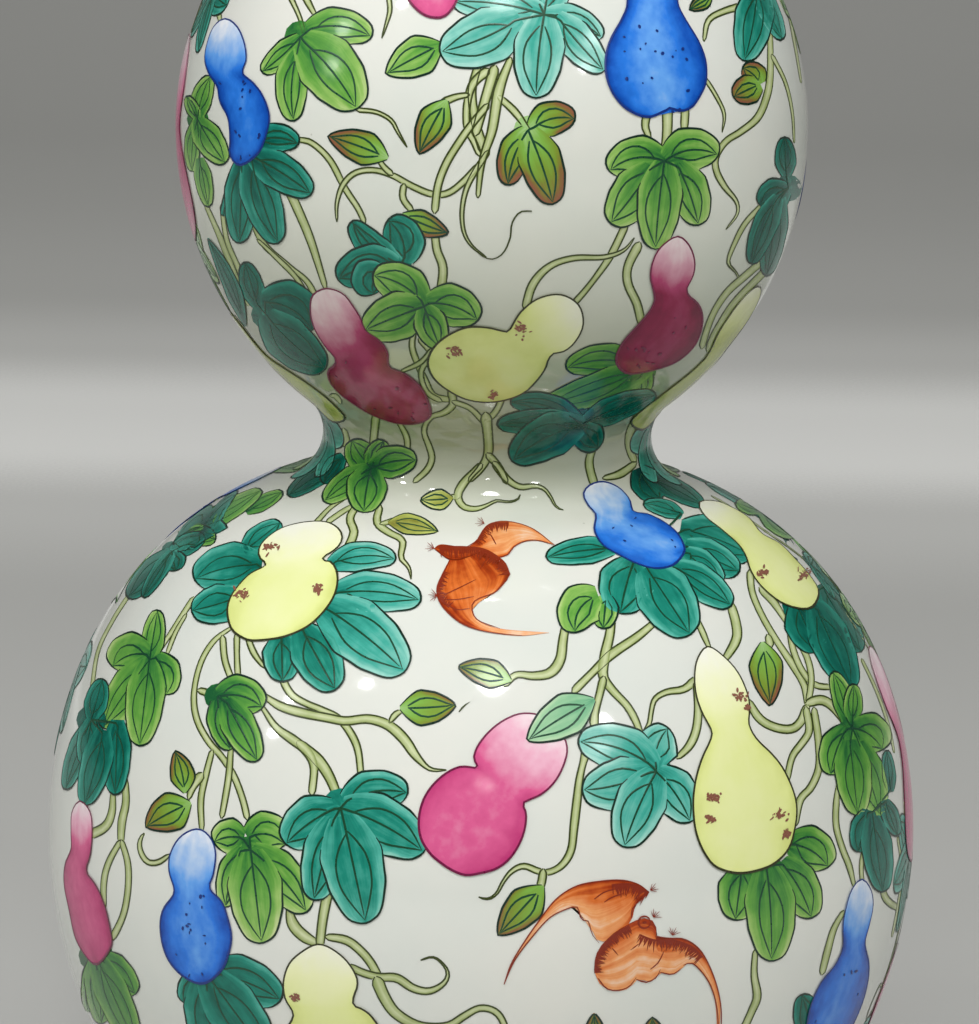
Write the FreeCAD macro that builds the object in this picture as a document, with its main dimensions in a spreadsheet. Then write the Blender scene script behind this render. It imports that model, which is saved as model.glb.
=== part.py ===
import FreeCAD, Part
import math
import os
import re
import Sketcher

# Double gourd vase in porcelain, in millimetres. The origin is the centre of the foot ring's resting plane,
# and +Z is the vase's own axis. The vase is thrown in five sections that are luted together with slip, and
# three skins of clear glaze cover it: outside, inside and in the recess under the base.

os.makedirs("parts", exist_ok=True)
doc = FreeCAD.newDocument("double_gourd_vase")

# What can be set by itself.
driving_sizes = [
    ("belly_radius", 87.0, "widest radius of the lower bulb"),
    ("underside_flat", 7.5, "how far past the axis the underside's arc is centred"),
    ("shoulder_radius", 66.0, "arc of the lower bulb's shoulder"),
    ("shoulder_angle", 24.4, "degrees above the belly at which the shoulder's arc begins"),
    ("waist_radius", 32.2, "narrowest radius, at the waist"),
    ("waist_curve", 10.0, "hollow arc of the waist"),
    ("upper_radius", 61.5, "widest radius of the upper bulb"),
    ("hip_flat", 6.3, "how far past the axis the arc under the upper bulb is centred"),
    ("neck_radius", 16.0, "outside of the neck"),
    ("neck_curve", 6.0, "hollow arc at the root of the neck"),
    ("neck_length", 19.0, "from the root of the neck to where the lip begins to round"),
    ("wall", 3.6, "thickness of the fired clay"),
    ("glaze", 0.3, "thickness of the glaze"),
    ("slip_thickness", 0.8, "height of the slip in each joint"),
    ("foot_radius", 46.0, "outside of the foot ring"),
    ("foot_height", 6.1, "from the resting plane to where the bulb springs from the foot ring"),
    ("foot_width", 6.0, "width of the foot ring"),
    ("foot_bevel", 1.2, "turned edge of the foot ring"),
    ("recess_depth", 4.5, "hollow under the base"),
    ("base_thickness", 6.0, "clay between the recess and the floor inside"),
    ("bare_height", 2.2, "unglazed height of the foot ring"),
]

# What follows from them: centres of the arcs, and the rise of the normal where one arc runs into the next.
derived_sizes = [
    ("underside_radius", "belly_radius + underside_flat"),
    ("underside_climb", "sqrt(underside_radius^2 - (foot_radius + underside_flat)^2)"),
    ("belly_height", "foot_height + underside_climb"),
    ("hip_radius", "upper_radius + hip_flat"),
    ("shoulder_rise", "sin(shoulder_angle)"),
    ("shoulder_centre_x", "(belly_radius - shoulder_radius) * cos(shoulder_angle)"),
    ("shoulder_centre_z", "belly_height + (belly_radius - shoulder_radius) * shoulder_rise"),
    ("waist_centre_x", "waist_radius + waist_curve"),
    ("waist_climb", "sqrt((shoulder_radius + waist_curve)^2 - (waist_centre_x - shoulder_centre_x)^2)"),
    ("waist_height", "shoulder_centre_z + waist_climb"),
    ("waist_low_rise", "waist_climb / (shoulder_radius + waist_curve)"),
    ("hip_climb", "sqrt((hip_radius + waist_curve)^2 - (waist_centre_x + hip_flat)^2)"),
    ("upper_height", "waist_height + hip_climb"),
    ("waist_high_rise", "0 - hip_climb / (hip_radius + waist_curve)"),
    ("neck_centre_x", "neck_radius + neck_curve"),
    ("neck_climb", "sqrt((upper_radius + neck_curve)^2 - neck_centre_x^2)"),
    ("neck_height", "upper_height + neck_climb"),
    ("neck_low_rise", "neck_climb / (upper_radius + neck_curve)"),
    ("lip_height", "neck_height + neck_length"),
    ("lip_radius", "wall / 2"),
    ("lip_centre_x", "neck_radius - lip_radius"),
    ("floor_height", "recess_depth + base_thickness"),
    ("foot_inner_radius", "foot_radius - foot_width"),
    ("belly_joint_top", "belly_height + slip_thickness"),
    ("waist_joint_top", "waist_height + slip_thickness / 2"),
    ("waist_joint_bottom", "waist_height - slip_thickness / 2"),
    ("upper_joint_top", "upper_height + slip_thickness"),
    ("neck_joint_top", "neck_height + slip_thickness"),
]

sizes = doc.addObject("Spreadsheet::Sheet", "sizes")
aliases = set()
for row, (alias, content, *note) in enumerate(driving_sizes + derived_sizes, start=1):
    formula = isinstance(content, str)
    sizes.set(f"A{row}", alias)
    sizes.set(f"B{row}", "=" + content if formula else str(content))
    sizes.set(f"C{row}", " ".join(note))
    sizes.setAlias(f"B{row}", alias)
    aliases.add(alias)
doc.recompute()


def bound(text):
    """The expression with every size read from the sheet."""
    return re.sub(r"[a-z_]+", lambda word: "sizes." + word[0] if word[0] in aliases else word[0], text)


def number(text):
    """What an expression comes to now."""
    found = sizes.evalExpression(text)
    return float(getattr(found, "Value", found))


# The arcs of the wall from foot to neck, as the outside of the clay: centre, radius and which way it bulges.
wall_arcs = {
    "underside": ("0 - underside_flat", "belly_height", "underside_radius", 1),
    "belly": ("0", "belly_height", "belly_radius", 1),
    "shoulder": ("shoulder_centre_x", "shoulder_centre_z", "shoulder_radius", 1),
    "waist": ("waist_centre_x", "waist_height", "waist_curve", -1),
    "hip": ("0 - hip_flat", "upper_height", "hip_radius", 1),
    "crown": ("0", "upper_height", "upper_radius", 1),
    "neck_root": ("neck_centre_x", "neck_height", "neck_curve", -1),
}

# Where two arcs meet they share a normal: the arc that gives its height, and the rise of that normal.
smooth_turns = {
    ("underside", "belly"): ("belly", "0"),
    ("belly", "shoulder"): ("belly", "shoulder_rise"),
    ("shoulder", "waist"): ("shoulder", "waist_low_rise"),
    ("waist", "hip"): ("hip", "waist_high_rise"),
    ("hip", "crown"): ("crown", "0"),
    ("crown", "neck_root"): ("crown", "neck_low_rise"),
}

# The four faces that follow the wall, as their distance outwards from the clay's outside.
outer_glaze_face = "glaze"
outer_clay_face = "0"
inner_clay_face = "0 - wall"
inner_glaze_face = "0 - wall - glaze"


def corner(x=None, z=None, smooth=False, above=False, inner=False):
    """A corner of an outline. Beside an arc it has one coordinate, and the arc gives the other."""
    return {"x": x, "z": z, "smooth": smooth, "above": above, "inner": inner}


def arc(centre_x, centre_z, radius, bulge):
    return {"x": centre_x, "z": centre_z, "radius": radius, "bulge": bulge}


line = None


def wall_arc(name, face):
    """One arc of the wall, moved out or in to a face."""
    centre_x, centre_z, radius, bulge = wall_arcs[name]
    sign = "+" if bulge > 0 else "-"
    return arc(centre_x, centre_z, f"{radius} {sign} ({face})", bulge)


def wall_side(names, face, low, high):
    """A stretch of the wall's outline on one face, from its low corner to its high corner."""
    side = [low]
    for name, after in zip(names, names[1:] + [None]):
        side.append(wall_arc(name, face))
        if after:
            giver, rise = smooth_turns[(name, after)]
            arc_z, arc_radius = wall_arcs[giver][1:3]
            side.append(corner(z=f"{arc_z} + ({arc_radius} + ({face})) * {rise}", smooth=True))
    return side + [high]


def place_of(spot, beside):
    """Where a corner lies now, with the arc beside it giving what the corner doesn't."""
    if spot["x"] is not None and spot["z"] is not None:
        return number(spot["x"]), number(spot["z"])
    centre_x, centre_z, radius = number(beside["x"]), number(beside["z"]), number(beside["radius"])
    if spot["x"] is None:
        z = number(spot["z"])
        side = -beside["bulge"] if spot["inner"] else beside["bulge"]
        return centre_x + side * math.sqrt(radius ** 2 - (z - centre_z) ** 2), z
    x = number(spot["x"])
    reach = math.sqrt(max(radius ** 2 - (x - centre_x) ** 2, 0))
    return x, centre_z + (reach if spot["above"] else -reach)


def bind(sketch, kind, element, point, text):
    """A named size of the sketch: a coordinate of a point, or a radius."""
    value = number(text)
    if kind == "Radius":
        index = sketch.addConstraint(Sketcher.Constraint(kind, element, value))
    elif text == "0":
        axis = -2 if kind == "DistanceX" else -1
        sketch.addConstraint(Sketcher.Constraint("PointOnObject", element, point, axis))
        return
    else:
        index = sketch.addConstraint(Sketcher.Constraint(kind, -1, 1, element, point, value))
    sketch.setExpression(f"Constraints[{index}]", bound(text))


def draw(sketch, outline):
    """A closed outline: corners and edges in turn, ending with the edge that comes back to the first corner."""
    corners, edges = outline[0::2], outline[1::2]
    count = len(corners)
    spots = [place_of(corners[i], edges[i] or edges[i - 1]) for i in range(count)]
    ends = []
    for i, edge in enumerate(edges):
        start, stop = spots[i], spots[(i + 1) % count]
        if edge is line:
            element = sketch.addGeometry(Part.LineSegment(FreeCAD.Vector(*start, 0), FreeCAD.Vector(*stop, 0)))
            ends.append((element, 1, 2))
            continue
        centre = FreeCAD.Vector(number(edge["x"]), number(edge["z"]), 0)
        start_angle = math.atan2(start[1] - centre.y, start[0] - centre.x)
        stop_angle = math.atan2(stop[1] - centre.y, stop[0] - centre.x)
        turn = math.remainder(stop_angle - start_angle, 2 * math.pi)
        if edge.get("half_turn"):
            turn = math.pi
        low_angle = start_angle if turn > 0 else start_angle + turn
        circle = Part.Circle(centre, FreeCAD.Vector(0, 0, 1), number(edge["radius"]))
        element = sketch.addGeometry(Part.ArcOfCircle(circle, low_angle, low_angle + abs(turn)))
        ends.append((element, 1, 2) if turn > 0 else (element, 2, 1))
    for i, spot in enumerate(corners):
        element, first, _ = ends[i]
        before, _, last = ends[i - 1]
        kind = "Tangent" if spot["smooth"] else "Coincident"
        sketch.addConstraint(Sketcher.Constraint(kind, before, last, element, first))
        if spot["x"] is not None:
            bind(sketch, "DistanceX", element, first, spot["x"])
        if spot["z"] is not None:
            bind(sketch, "DistanceY", element, first, spot["z"])
    for i, edge in enumerate(edges):
        if edge is line:
            continue
        element = ends[i][0]
        bind(sketch, "Radius", element, 0, edge["radius"])
        if not corners[i]["smooth"]:
            bind(sketch, "DistanceX", element, 3, edge["x"])
            bind(sketch, "DistanceY", element, 3, edge["z"])


def turned_piece(name, outline):
    """A piece turned on the wheel: its half section, drawn on the XZ plane, goes once round the axis."""
    body = doc.addObject("PartDesign::Body", name)
    body.Label = name
    plane = next(face for face in body.Origin.OriginFeatures if face.Role == "XZ_Plane")
    sketch = body.newObject("Sketcher::SketchObject", name + "_section")
    sketch.AttachmentSupport = [(plane, "")]
    sketch.MapMode = "FlatFace"
    doc.recompute()
    draw(sketch, outline)
    doc.recompute()
    turned = body.newObject("PartDesign::Revolution", name + "_turned")
    turned.Profile = sketch
    turned.ReferenceAxis = (sketch, ["V_Axis"])
    turned.Angle = 360
    sketch.Visibility = False
    body.Placement = FreeCAD.Placement(FreeCAD.Vector(0, 0, 0), FreeCAD.Rotation())
    doc.recompute()
    return body


def wall_ring(name, names, bottom, top):
    """A section of the clay wall between two level joints."""
    outside = wall_side(names, outer_clay_face, corner(z=bottom), corner(z=top))
    inside = wall_side(names, inner_clay_face, corner(z=bottom), corner(z=top))
    return turned_piece(name, outside + [line] + inside[::-1] + [line])


def lower_bowl():
    """The base with its foot ring, and the lower half of the lower bulb."""
    foot = [
        corner("foot_radius", "foot_bevel"),
        corner("foot_radius - foot_bevel", "0"),
        corner("foot_inner_radius + foot_bevel", "0"),
        corner("foot_inner_radius", "foot_bevel"),
        corner("foot_inner_radius", "recess_depth"),
        corner("0", "recess_depth"),
        corner("0", "floor_height"),
    ]
    outside = wall_side(["underside"], outer_clay_face, corner(x="foot_radius"), corner(z="belly_height"))
    inside = wall_side(["underside"], inner_clay_face, corner(z="floor_height"), corner(z="belly_height"))
    outline = inside + [line] + outside[::-1]
    for spot in foot:
        outline += [line, spot]
    return turned_piece("lower_bowl", outline + [line])


def neck():
    """The neck, with the lip rounded over the whole wall."""
    lip = arc("lip_centre_x", "lip_height", "lip_radius", 1)
    lip["half_turn"] = True
    outline = [
        corner("neck_radius", "neck_joint_top"), line,
        corner(z="lip_height"), lip,
        corner(z="lip_height", inner=True), line,
        corner("neck_radius - wall", "neck_joint_top"), line,
    ]
    return turned_piece("neck", outline)


def outer_glaze():
    """Clear glaze from just above the foot's resting edge to the crest of the lip."""
    names = list(wall_arcs)

    def side(face):
        low = corner(x=f"foot_radius + ({face})")
        stretch = wall_side(names, face, low, corner(z="neck_height"))
        lip = arc("lip_centre_x", "lip_height", f"lip_radius + ({face})", 1)
        foot = [corner(f"foot_radius + ({face})", "bare_height"), line]
        return foot + stretch + [line, corner(z="lip_height"), lip, corner(x="lip_centre_x", above=True)]

    return turned_piece("outer_glaze", side(outer_glaze_face) + [line] + side(outer_clay_face)[::-1] + [line])


def inner_glaze():
    """Clear glaze from the floor inside, up the wall, to the crest of the lip."""
    names = list(wall_arcs)

    def side(face, floor, lip_growth):
        stretch = wall_side(names, face, corner(z=floor), corner(z="neck_height"))
        lip = arc("lip_centre_x", "lip_height", f"lip_radius + ({lip_growth})", -1)
        rim = [line, corner(z="lip_height"), lip, corner(x="lip_centre_x", above=True)]
        return [corner("0", floor), line] + stretch + rim

    clay_side = side(inner_clay_face, "floor_height", "0")
    open_side = side(inner_glaze_face, "floor_height + glaze", "glaze")
    return turned_piece("inner_glaze", clay_side + [line] + open_side[::-1] + [line])


def base_glaze():
    """Clear glaze over the recess inside the foot ring."""
    outline = [
        corner("0", "recess_depth"), line,
        corner("0", "recess_depth - glaze"), line,
        corner("foot_inner_radius", "recess_depth - glaze"), line,
        corner("foot_inner_radius", "recess_depth"), line,
    ]
    return turned_piece("base_glaze", outline)


pieces = [
    lower_bowl(),
    wall_ring("belly_slip_joint", ["belly"], "belly_height", "belly_joint_top"),
    wall_ring("lower_shoulder", ["belly", "shoulder", "waist"], "belly_joint_top", "waist_joint_bottom"),
    wall_ring("waist_slip_joint", ["waist"], "waist_joint_bottom", "waist_joint_top"),
    wall_ring("upper_bowl", ["waist", "hip"], "waist_joint_top", "upper_height"),
    wall_ring("upper_slip_joint", ["crown"], "upper_height", "upper_joint_top"),
    wall_ring("upper_shoulder", ["crown", "neck_root"], "upper_joint_top", "neck_height"),
    turned_piece("neck_slip_joint", [
        corner("neck_radius", "neck_height"), line,
        corner("neck_radius", "neck_joint_top"), line,
        corner("neck_radius - wall", "neck_joint_top"), line,
        corner("neck_radius - wall", "neck_height"), line,
    ]),
    neck(),
    outer_glaze(),
    inner_glaze(),
    base_glaze(),
]

doc.recompute()
faults = [item.Name for item in doc.Objects if {"Invalid", "Error"} & set(item.State)]
faults += [item.Name for item in doc.Objects
           if item.TypeId == "Sketcher::SketchObject" and not item.FullyConstrained]
faults += [piece.Name for piece in pieces
           if piece.Shape.isNull() or not piece.Shape.isValid() or len(piece.Shape.Solids) != 1]
if faults:
    raise RuntimeError("these didn't build: " + ", ".join(faults))

for piece in pieces:
    piece.Shape.exportStep(f"parts/{piece.Label}.step")
    box = piece.Shape.BoundBox
    print(f"{piece.Label}: {piece.Shape.Volume:.1f} mm3, z {box.ZMin:.3f} to {box.ZMax:.3f}, "
          f"widest {box.XLength:.3f}")
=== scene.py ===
import math
import random

import bpy
import numpy as np
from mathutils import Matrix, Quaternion, Vector


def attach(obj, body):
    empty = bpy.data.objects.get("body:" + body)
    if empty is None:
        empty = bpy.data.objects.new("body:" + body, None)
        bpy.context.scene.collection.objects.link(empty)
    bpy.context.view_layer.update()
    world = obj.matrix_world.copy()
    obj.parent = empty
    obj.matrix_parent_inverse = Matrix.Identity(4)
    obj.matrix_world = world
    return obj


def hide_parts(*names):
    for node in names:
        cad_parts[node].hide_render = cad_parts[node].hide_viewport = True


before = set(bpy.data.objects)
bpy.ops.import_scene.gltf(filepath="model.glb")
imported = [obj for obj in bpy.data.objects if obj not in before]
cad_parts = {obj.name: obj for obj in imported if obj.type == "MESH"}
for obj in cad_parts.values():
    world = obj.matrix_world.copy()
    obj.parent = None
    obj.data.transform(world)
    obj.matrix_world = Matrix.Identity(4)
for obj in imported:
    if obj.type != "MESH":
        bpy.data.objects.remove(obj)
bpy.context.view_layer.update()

print("frame loaded:", len(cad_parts), "clay, slip and glaze pieces")

mm = 0.001  # every size below is in millimetres, and Blender's are metres
tiny = 1e-9

# the vase's own sizes, as its pieces were made
vase = {
    "bellyRadius": 87.0, "undersideFlat": 7.5,
    "shoulderRadius": 66.0, "shoulderAngle": 24.4,
    "waistRadius": 32.2, "waistCurve": 10.0,
    "upperRadius": 61.5, "hipFlat": 6.3,
    "neckRadius": 16.0, "neckCurve": 6.0, "neckLength": 19.0,
    "wall": 3.6, "glaze": 0.3, "footRadius": 46.0, "footHeight": 6.1, "bareHeight": 2.2,
}

# the photo's frame and the camera that took it
photo = {
    "width": 979, "height": 1024,
    "distance": 850.0,  # from the lens to the vase's axis
    "elevation": 12.0, "roll": 1.0,
    "aimHeight": 148.8, "aimSide": 0.74,
    "mmPerPixel": 0.2,  # at the axis
    "pastEdge": 5.0,  # how much further round than seen a stroke goes on past the outline
    "pastLimit": 0.12,  # and how far at most, in radians
    "searchNear": 100.0, "searchFar": 20.0, "searchSteps": 61,  # how far about the axis a ray is looked at
}


# the wall's outline


def glazeArcs(v):
    # Centre, radius, bulge and height range of each arc on the glaze's outer face, from foot to neck.
    g = v["glaze"]
    underside = v["bellyRadius"] + v["undersideFlat"]
    footReach = v["footRadius"] + v["undersideFlat"]
    bellyZ = v["footHeight"] + math.sqrt(underside ** 2 - footReach ** 2)
    slope = math.radians(v["shoulderAngle"])
    inward = v["bellyRadius"] - v["shoulderRadius"]
    shoulderX, shoulderZ = inward * math.cos(slope), bellyZ + inward * math.sin(slope)
    waistX = v["waistRadius"] + v["waistCurve"]
    reachLow = v["shoulderRadius"] + v["waistCurve"]
    climbLow = math.sqrt(reachLow ** 2 - (waistX - shoulderX) ** 2)
    waistZ = shoulderZ + climbLow
    hipRadius = v["upperRadius"] + v["hipFlat"]
    reachHigh = hipRadius + v["waistCurve"]
    climbHigh = math.sqrt(reachHigh ** 2 - (waistX + v["hipFlat"]) ** 2)
    upperZ = waistZ + climbHigh
    neckX = v["neckRadius"] + v["neckCurve"]
    reachNeck = v["upperRadius"] + v["neckCurve"]
    climbNeck = math.sqrt(reachNeck ** 2 - neckX ** 2)
    neckZ = upperZ + climbNeck
    footZ = bellyZ - math.sqrt((underside + g) ** 2 - (footReach + g) ** 2)
    turns = [
        footZ, bellyZ,
        bellyZ + (v["bellyRadius"] + g) * math.sin(slope),
        shoulderZ + (v["shoulderRadius"] + g) * climbLow / reachLow,
        upperZ - (hipRadius + g) * climbHigh / reachHigh,
        upperZ, upperZ + (v["upperRadius"] + g) * climbNeck / reachNeck, neckZ,
    ]
    shapes = [
        (-v["undersideFlat"], bellyZ, underside + g, 1),
        (0.0, bellyZ, v["bellyRadius"] + g, 1),
        (shoulderX, shoulderZ, v["shoulderRadius"] + g, 1),
        (waistX, waistZ, v["waistCurve"] - g, -1),
        (-v["hipFlat"], upperZ, hipRadius + g, 1),
        (0.0, upperZ, v["upperRadius"] + g, 1),
        (neckX, neckZ, v["neckCurve"] - g, -1),
    ]
    v.update(footTop=footZ, waistHeight=waistZ, neckHeight=neckZ, lipHeight=neckZ + v["neckLength"])
    return [(*shape, low, high) for shape, low, high in zip(shapes, turns, turns[1:])]


arcs = glazeArcs(vase)


def wallAt(z):
    # Radius of the glazed wall at these heights, and its outward normal as radial and upward parts.
    z = np.asarray(z, float)
    radius = np.full(z.shape, vase["footRadius"] + vase["glaze"])
    radius[z > vase["neckHeight"]] = vase["neckRadius"] + vase["glaze"]
    outward, upward = np.ones(z.shape), np.zeros(z.shape)
    for centreX, centreZ, size, bulge, low, high in arcs:
        on = (z >= low) & (z <= high)
        rise = (z[on] - centreZ) / size
        run = np.sqrt(np.clip(1 - rise ** 2, 0, 1))
        radius[on] = centreX + bulge * size * run
        outward[on], upward[on] = run, bulge * rise
    return radius, outward, upward


# the outline as a table of heights, radii, normals and lengths along the wall
profileHeights = np.linspace(vase["footTop"], vase["lipHeight"], 6000)
profileRadii, profileOutward, profileUpward = wallAt(profileHeights)
profileLengths = np.concatenate([[0], np.cumsum(np.hypot(np.diff(profileHeights), np.diff(profileRadii)))])


def onWall(spots, lift):
    # Points on the wall, lifted off the glaze: azimuth 0 faces the front, and grows to the right.
    azimuth, z = spots[..., 0], spots[..., 1]
    outward = np.interp(z, profileHeights, profileOutward)
    upward = np.interp(z, profileHeights, profileUpward)
    reach = np.interp(z, profileHeights, profileRadii) + outward * lift
    return np.stack([reach * np.sin(azimuth), -reach * np.cos(azimuth), z + upward * lift], -1)


def wallGap(places):
    # How far these points are outside the wall, in plan.
    return np.hypot(places[..., 0], places[..., 1]) - np.interp(places[..., 2], profileHeights, profileRadii)


def front(points):
    # Azimuth and height on the vase of what the photo shows at these pixels.
    points = np.asarray(points, float)
    shape, points = points.shape[:-1], points.reshape(-1, 2)
    tilt, roll = math.radians(photo["elevation"]), math.radians(photo["roll"])
    focal = photo["distance"] / photo["mmPerPixel"]
    side = points[:, 0] - photo["width"] / 2
    rise = photo["height"] / 2 - points[:, 1]
    x = (side * math.cos(roll) - rise * math.sin(roll)) / focal
    y = (side * math.sin(roll) + rise * math.cos(roll)) / focal
    back = np.array([0, -math.cos(tilt), math.sin(tilt)])
    up = np.array([0, math.sin(tilt), math.cos(tilt)])
    eye = np.array([photo["aimSide"], 0, photo["aimHeight"]]) + back * photo["distance"]
    ray = -back + x[:, None] * np.array([1.0, 0, 0]) + y[:, None] * up
    steps = np.linspace(photo["distance"] - photo["searchNear"], photo["distance"] + photo["searchFar"],
                        photo["searchSteps"])
    gaps = wallGap(eye + ray[:, None, :] * steps[None, :, None])
    hit = gaps <= 0
    reached = hit.any(1)
    first = np.where(reached, hit.argmax(1), gaps.argmin(1))
    near, far = steps[np.maximum(first - 1, 0)], steps[first]
    for _ in range(14):  # halves the last step until it is finer than the paint
        middle = (near + far) / 2
        inside = wallGap(eye + ray * middle[:, None]) <= 0
        far = np.where(inside, middle, far)
        near = np.where(inside, near, middle)
    place = eye + ray * np.where(reached, far, steps[first])[:, None]
    azimuth = np.arctan2(place[:, 0], -place[:, 1])
    past = np.where(reached, 0, gaps.min(1)) / np.interp(place[:, 2], profileHeights, profileRadii)
    azimuth += np.sign(azimuth) * np.minimum(photo["pastEdge"] * past, photo["pastLimit"])
    return np.stack([azimuth, place[:, 2]], -1).reshape(*shape, 2)


def turnedFrom(place, degrees):
    # The same part of the design again, further round the vase.
    def moved(points):
        spots = place(points)
        spots[..., 0] += math.radians(degrees)
        return spots
    return moved


def beside(degrees, height, mirror=False):
    # A flat sketch, in photo pixels about its own middle, laid on the wall at an azimuth and a height.
    start = np.interp(height, profileHeights, profileLengths)
    flip = -1.0 if mirror else 1.0

    def laid(points):
        points = np.asarray(points, float) * photo["mmPerPixel"]
        length = np.clip(start - points[..., 1], profileLengths[0], profileLengths[-1])
        z = np.interp(length, profileLengths, profileHeights)
        radius = np.interp(length, profileLengths, profileRadii)
        return np.stack([math.radians(degrees) + flip * points[..., 0] / radius, z], -1)
    return laid


# paths and meshes for the painting

thickness = 0.09  # how deep a stroke's sheet goes below its face
lineLift = 0.035  # how far a brush line stands above what it crosses
spanSteps = 16  # of a rounded path, from one sketch point to the next
strokeHeights = {"stem": 0.03, "leaf": 0.08, "gourd": 0.2, "bat": 0.125, "over": 0.22}
# a brush line's ridge, how steep it may be, how deep its sides and its root go, and where its ends start
lineLook = {"ridge": 0.022, "slope": 0.3, "foot": 0.01, "root": 0.06, "swelled": 0.12, "thinning": 0.85}


def lengthsAlong(path):
    return np.concatenate([[0], np.cumsum(np.linalg.norm(np.diff(path, axis=0), axis=1))])


def sampled(path, stations, wanted):
    # The path's points at the wanted stations.
    return np.stack([np.interp(wanted, stations, path[:, k]) for k in (0, 1)], -1)


def unitSlopes(path):
    slope = np.gradient(path, axis=0)
    return slope / np.maximum(np.linalg.norm(slope, axis=1, keepdims=True), tiny)


def turnedLeft(slope):
    return np.stack([-slope[:, 1], slope[:, 0]], -1)


def roundedSpans(points):
    # A smooth curve from each point to the next, but for the first and last, which only guide it.
    t = np.linspace(0, 1, spanSteps + 1)[:-1, None]
    return np.vstack([0.5 * (2 * b + (c - a) * t + (2 * a - 5 * b + 4 * c - d) * t ** 2
                             + (3 * b - a - 3 * c + d) * t ** 3)
                      for a, b, c, d in zip(points, points[1:], points[2:], points[3:])])


def roundedPath(points):
    points = np.asarray(points, float)
    if len(points) < 3:
        return points
    padded = np.vstack([2 * points[0] - points[1], points, 2 * points[-1] - points[-2]])
    return np.vstack([roundedSpans(padded), points[-1:]])


def smoothPath(points, spacing=5.0):
    # A rounded path through these sketch points, sampled evenly.
    path = roundedPath(points)
    lengths = lengthsAlong(path)
    count = max(3, int(round(lengths[-1] / spacing)) + 1)
    return sampled(path, lengths, np.linspace(0, lengths[-1], count))


def evenPath(points, count):
    # The same with a fixed number of points.
    path = smoothPath(points, 1.5)
    lengths = lengthsAlong(path)
    return sampled(path, lengths, np.linspace(0, lengths[-1], count))


def newPaint():
    return {"points": [], "faces": [], "along": [], "across": [], "wash": []}


def addPoints(paint, points, along, across, wash):
    start = sum(len(group) for group in paint["points"])
    paint["points"].append(points.reshape(-1, 3))
    for key, values in (("along", along), ("across", across), ("wash", wash)):
        paint[key].append(np.broadcast_to(values, points.shape[:-1]).reshape(-1))
    return start


def addSheet(paint, grid, place, lift, wash):
    # A patch of enamel: a grid of sketch points laid on the wall, closed underneath and round its rim.
    rows, columns = grid.shape[:2]
    spots = place(grid)
    wash = np.broadcast_to(wash, (rows, columns))
    along = np.broadcast_to(np.linspace(0, 1, rows)[:, None], (rows, columns))
    across = np.broadcast_to(np.linspace(0, 1, columns)[None, :], (rows, columns))
    above, below = onWall(spots, lift), onWall(spots, lift - thickness)
    top = addPoints(paint, above, along, across, wash)
    rim = [(0, j) for j in range(columns)] + [(i, columns - 1) for i in range(1, rows)]
    rim += [(rows - 1, j) for j in range(columns - 2, -1, -1)] + [(i, 0) for i in range(rows - 2, 0, -1)]
    hollow = any(bulge < 0 and ((spots[..., 1] > low) & (spots[..., 1] < high)).any()
                 for _, _, _, bulge, low, high in arcs)
    floor = []
    if hollow:  # the underside has to follow the hollow too
        under = addPoints(paint, below, along, across, wash)
        beneath = {(i, j): under + i * columns + j for i in range(rows) for j in range(columns)}
        for i in range(rows - 1):
            floor += [[(i, j), (i, j + 1), (i + 1, j + 1), (i + 1, j)] for j in range(columns - 1)]
    else:  # elsewhere one strip a row is enough
        picked = tuple(np.array(rim).T)
        under = addPoints(paint, below[picked], along[picked], across[picked], wash[picked])
        beneath = {spot: under + k for k, spot in enumerate(rim)}
        for i in range(rows - 1):
            near = range(columns) if i == 0 else (0, columns - 1)
            far = range(columns) if i == rows - 2 else (0, columns - 1)
            floor.append([(i, j) for j in near] + [(i + 1, j) for j in reversed(far)])
    faces = [[beneath[spot] for spot in reversed(strip)] for strip in floor]
    for i in range(rows - 1):
        for j in range(columns - 1):
            corner = top + i * columns + j
            faces.append([corner, corner + 1, corner + columns + 1, corner + columns])
    for a, b in zip(rim, rim[1:] + rim[:1]):
        onTop = [top + i * columns + j for i, j in (b, a)]
        faces.append([*onTop, beneath[a], beneath[b]])
    i, j = rows // 2, columns // 2
    facing = np.cross(above[i - 1, j] - above[i - 1, j - 1], above[i, j - 1] - above[i - 1, j - 1])
    flipped = np.dot(facing, above[i, j] - below[i, j]) < 0
    paint["faces"] += [face[::-1] for face in faces] if flipped else faces


def addLine(paint, points, widths, place, lift, taper=(0.35, 0.35), spacing=5.0):
    # One brush line: a low ridge that narrows at both ends.
    look = lineLook
    spots = place(smoothPath(points, spacing))
    centre = onWall(spots, lift)
    normal = onWall(spots, lift + 1) - centre
    side = np.cross(normal, np.gradient(centre, axis=0))
    side /= np.maximum(np.linalg.norm(side, axis=1, keepdims=True), tiny)
    count = len(spots)
    share = np.linspace(0, 1, count)
    width = np.interp(share, np.linspace(0, 1, len(np.atleast_1d(widths))), np.atleast_1d(widths))
    ends = np.interp(share, [0, look["swelled"], look["thinning"], 1], [taper[0], 1, 1, taper[1]])
    half = (width * ends / 2)[:, None]
    ridge = np.minimum(look["ridge"], half * look["slope"])
    rings = np.stack([centre - side * half - normal * look["foot"], centre + normal * ridge,
                      centre + side * half - normal * look["foot"], centre - normal * look["root"]], 1)
    start = addPoints(paint, rings, share[:, None], np.array([0, 0.5, 1, 0.5])[None, :], 1.0)
    for i in range(start, start + 4 * (count - 1), 4):
        paint["faces"] += [[i + (k + 1) % 4, i + k, i + k + 4, i + (k + 1) % 4 + 4] for k in range(4)]
    last = start + 4 * (count - 1)
    paint["faces"] += [[start + k for k in range(4)], [last + k for k in (3, 2, 1, 0)]]


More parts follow.
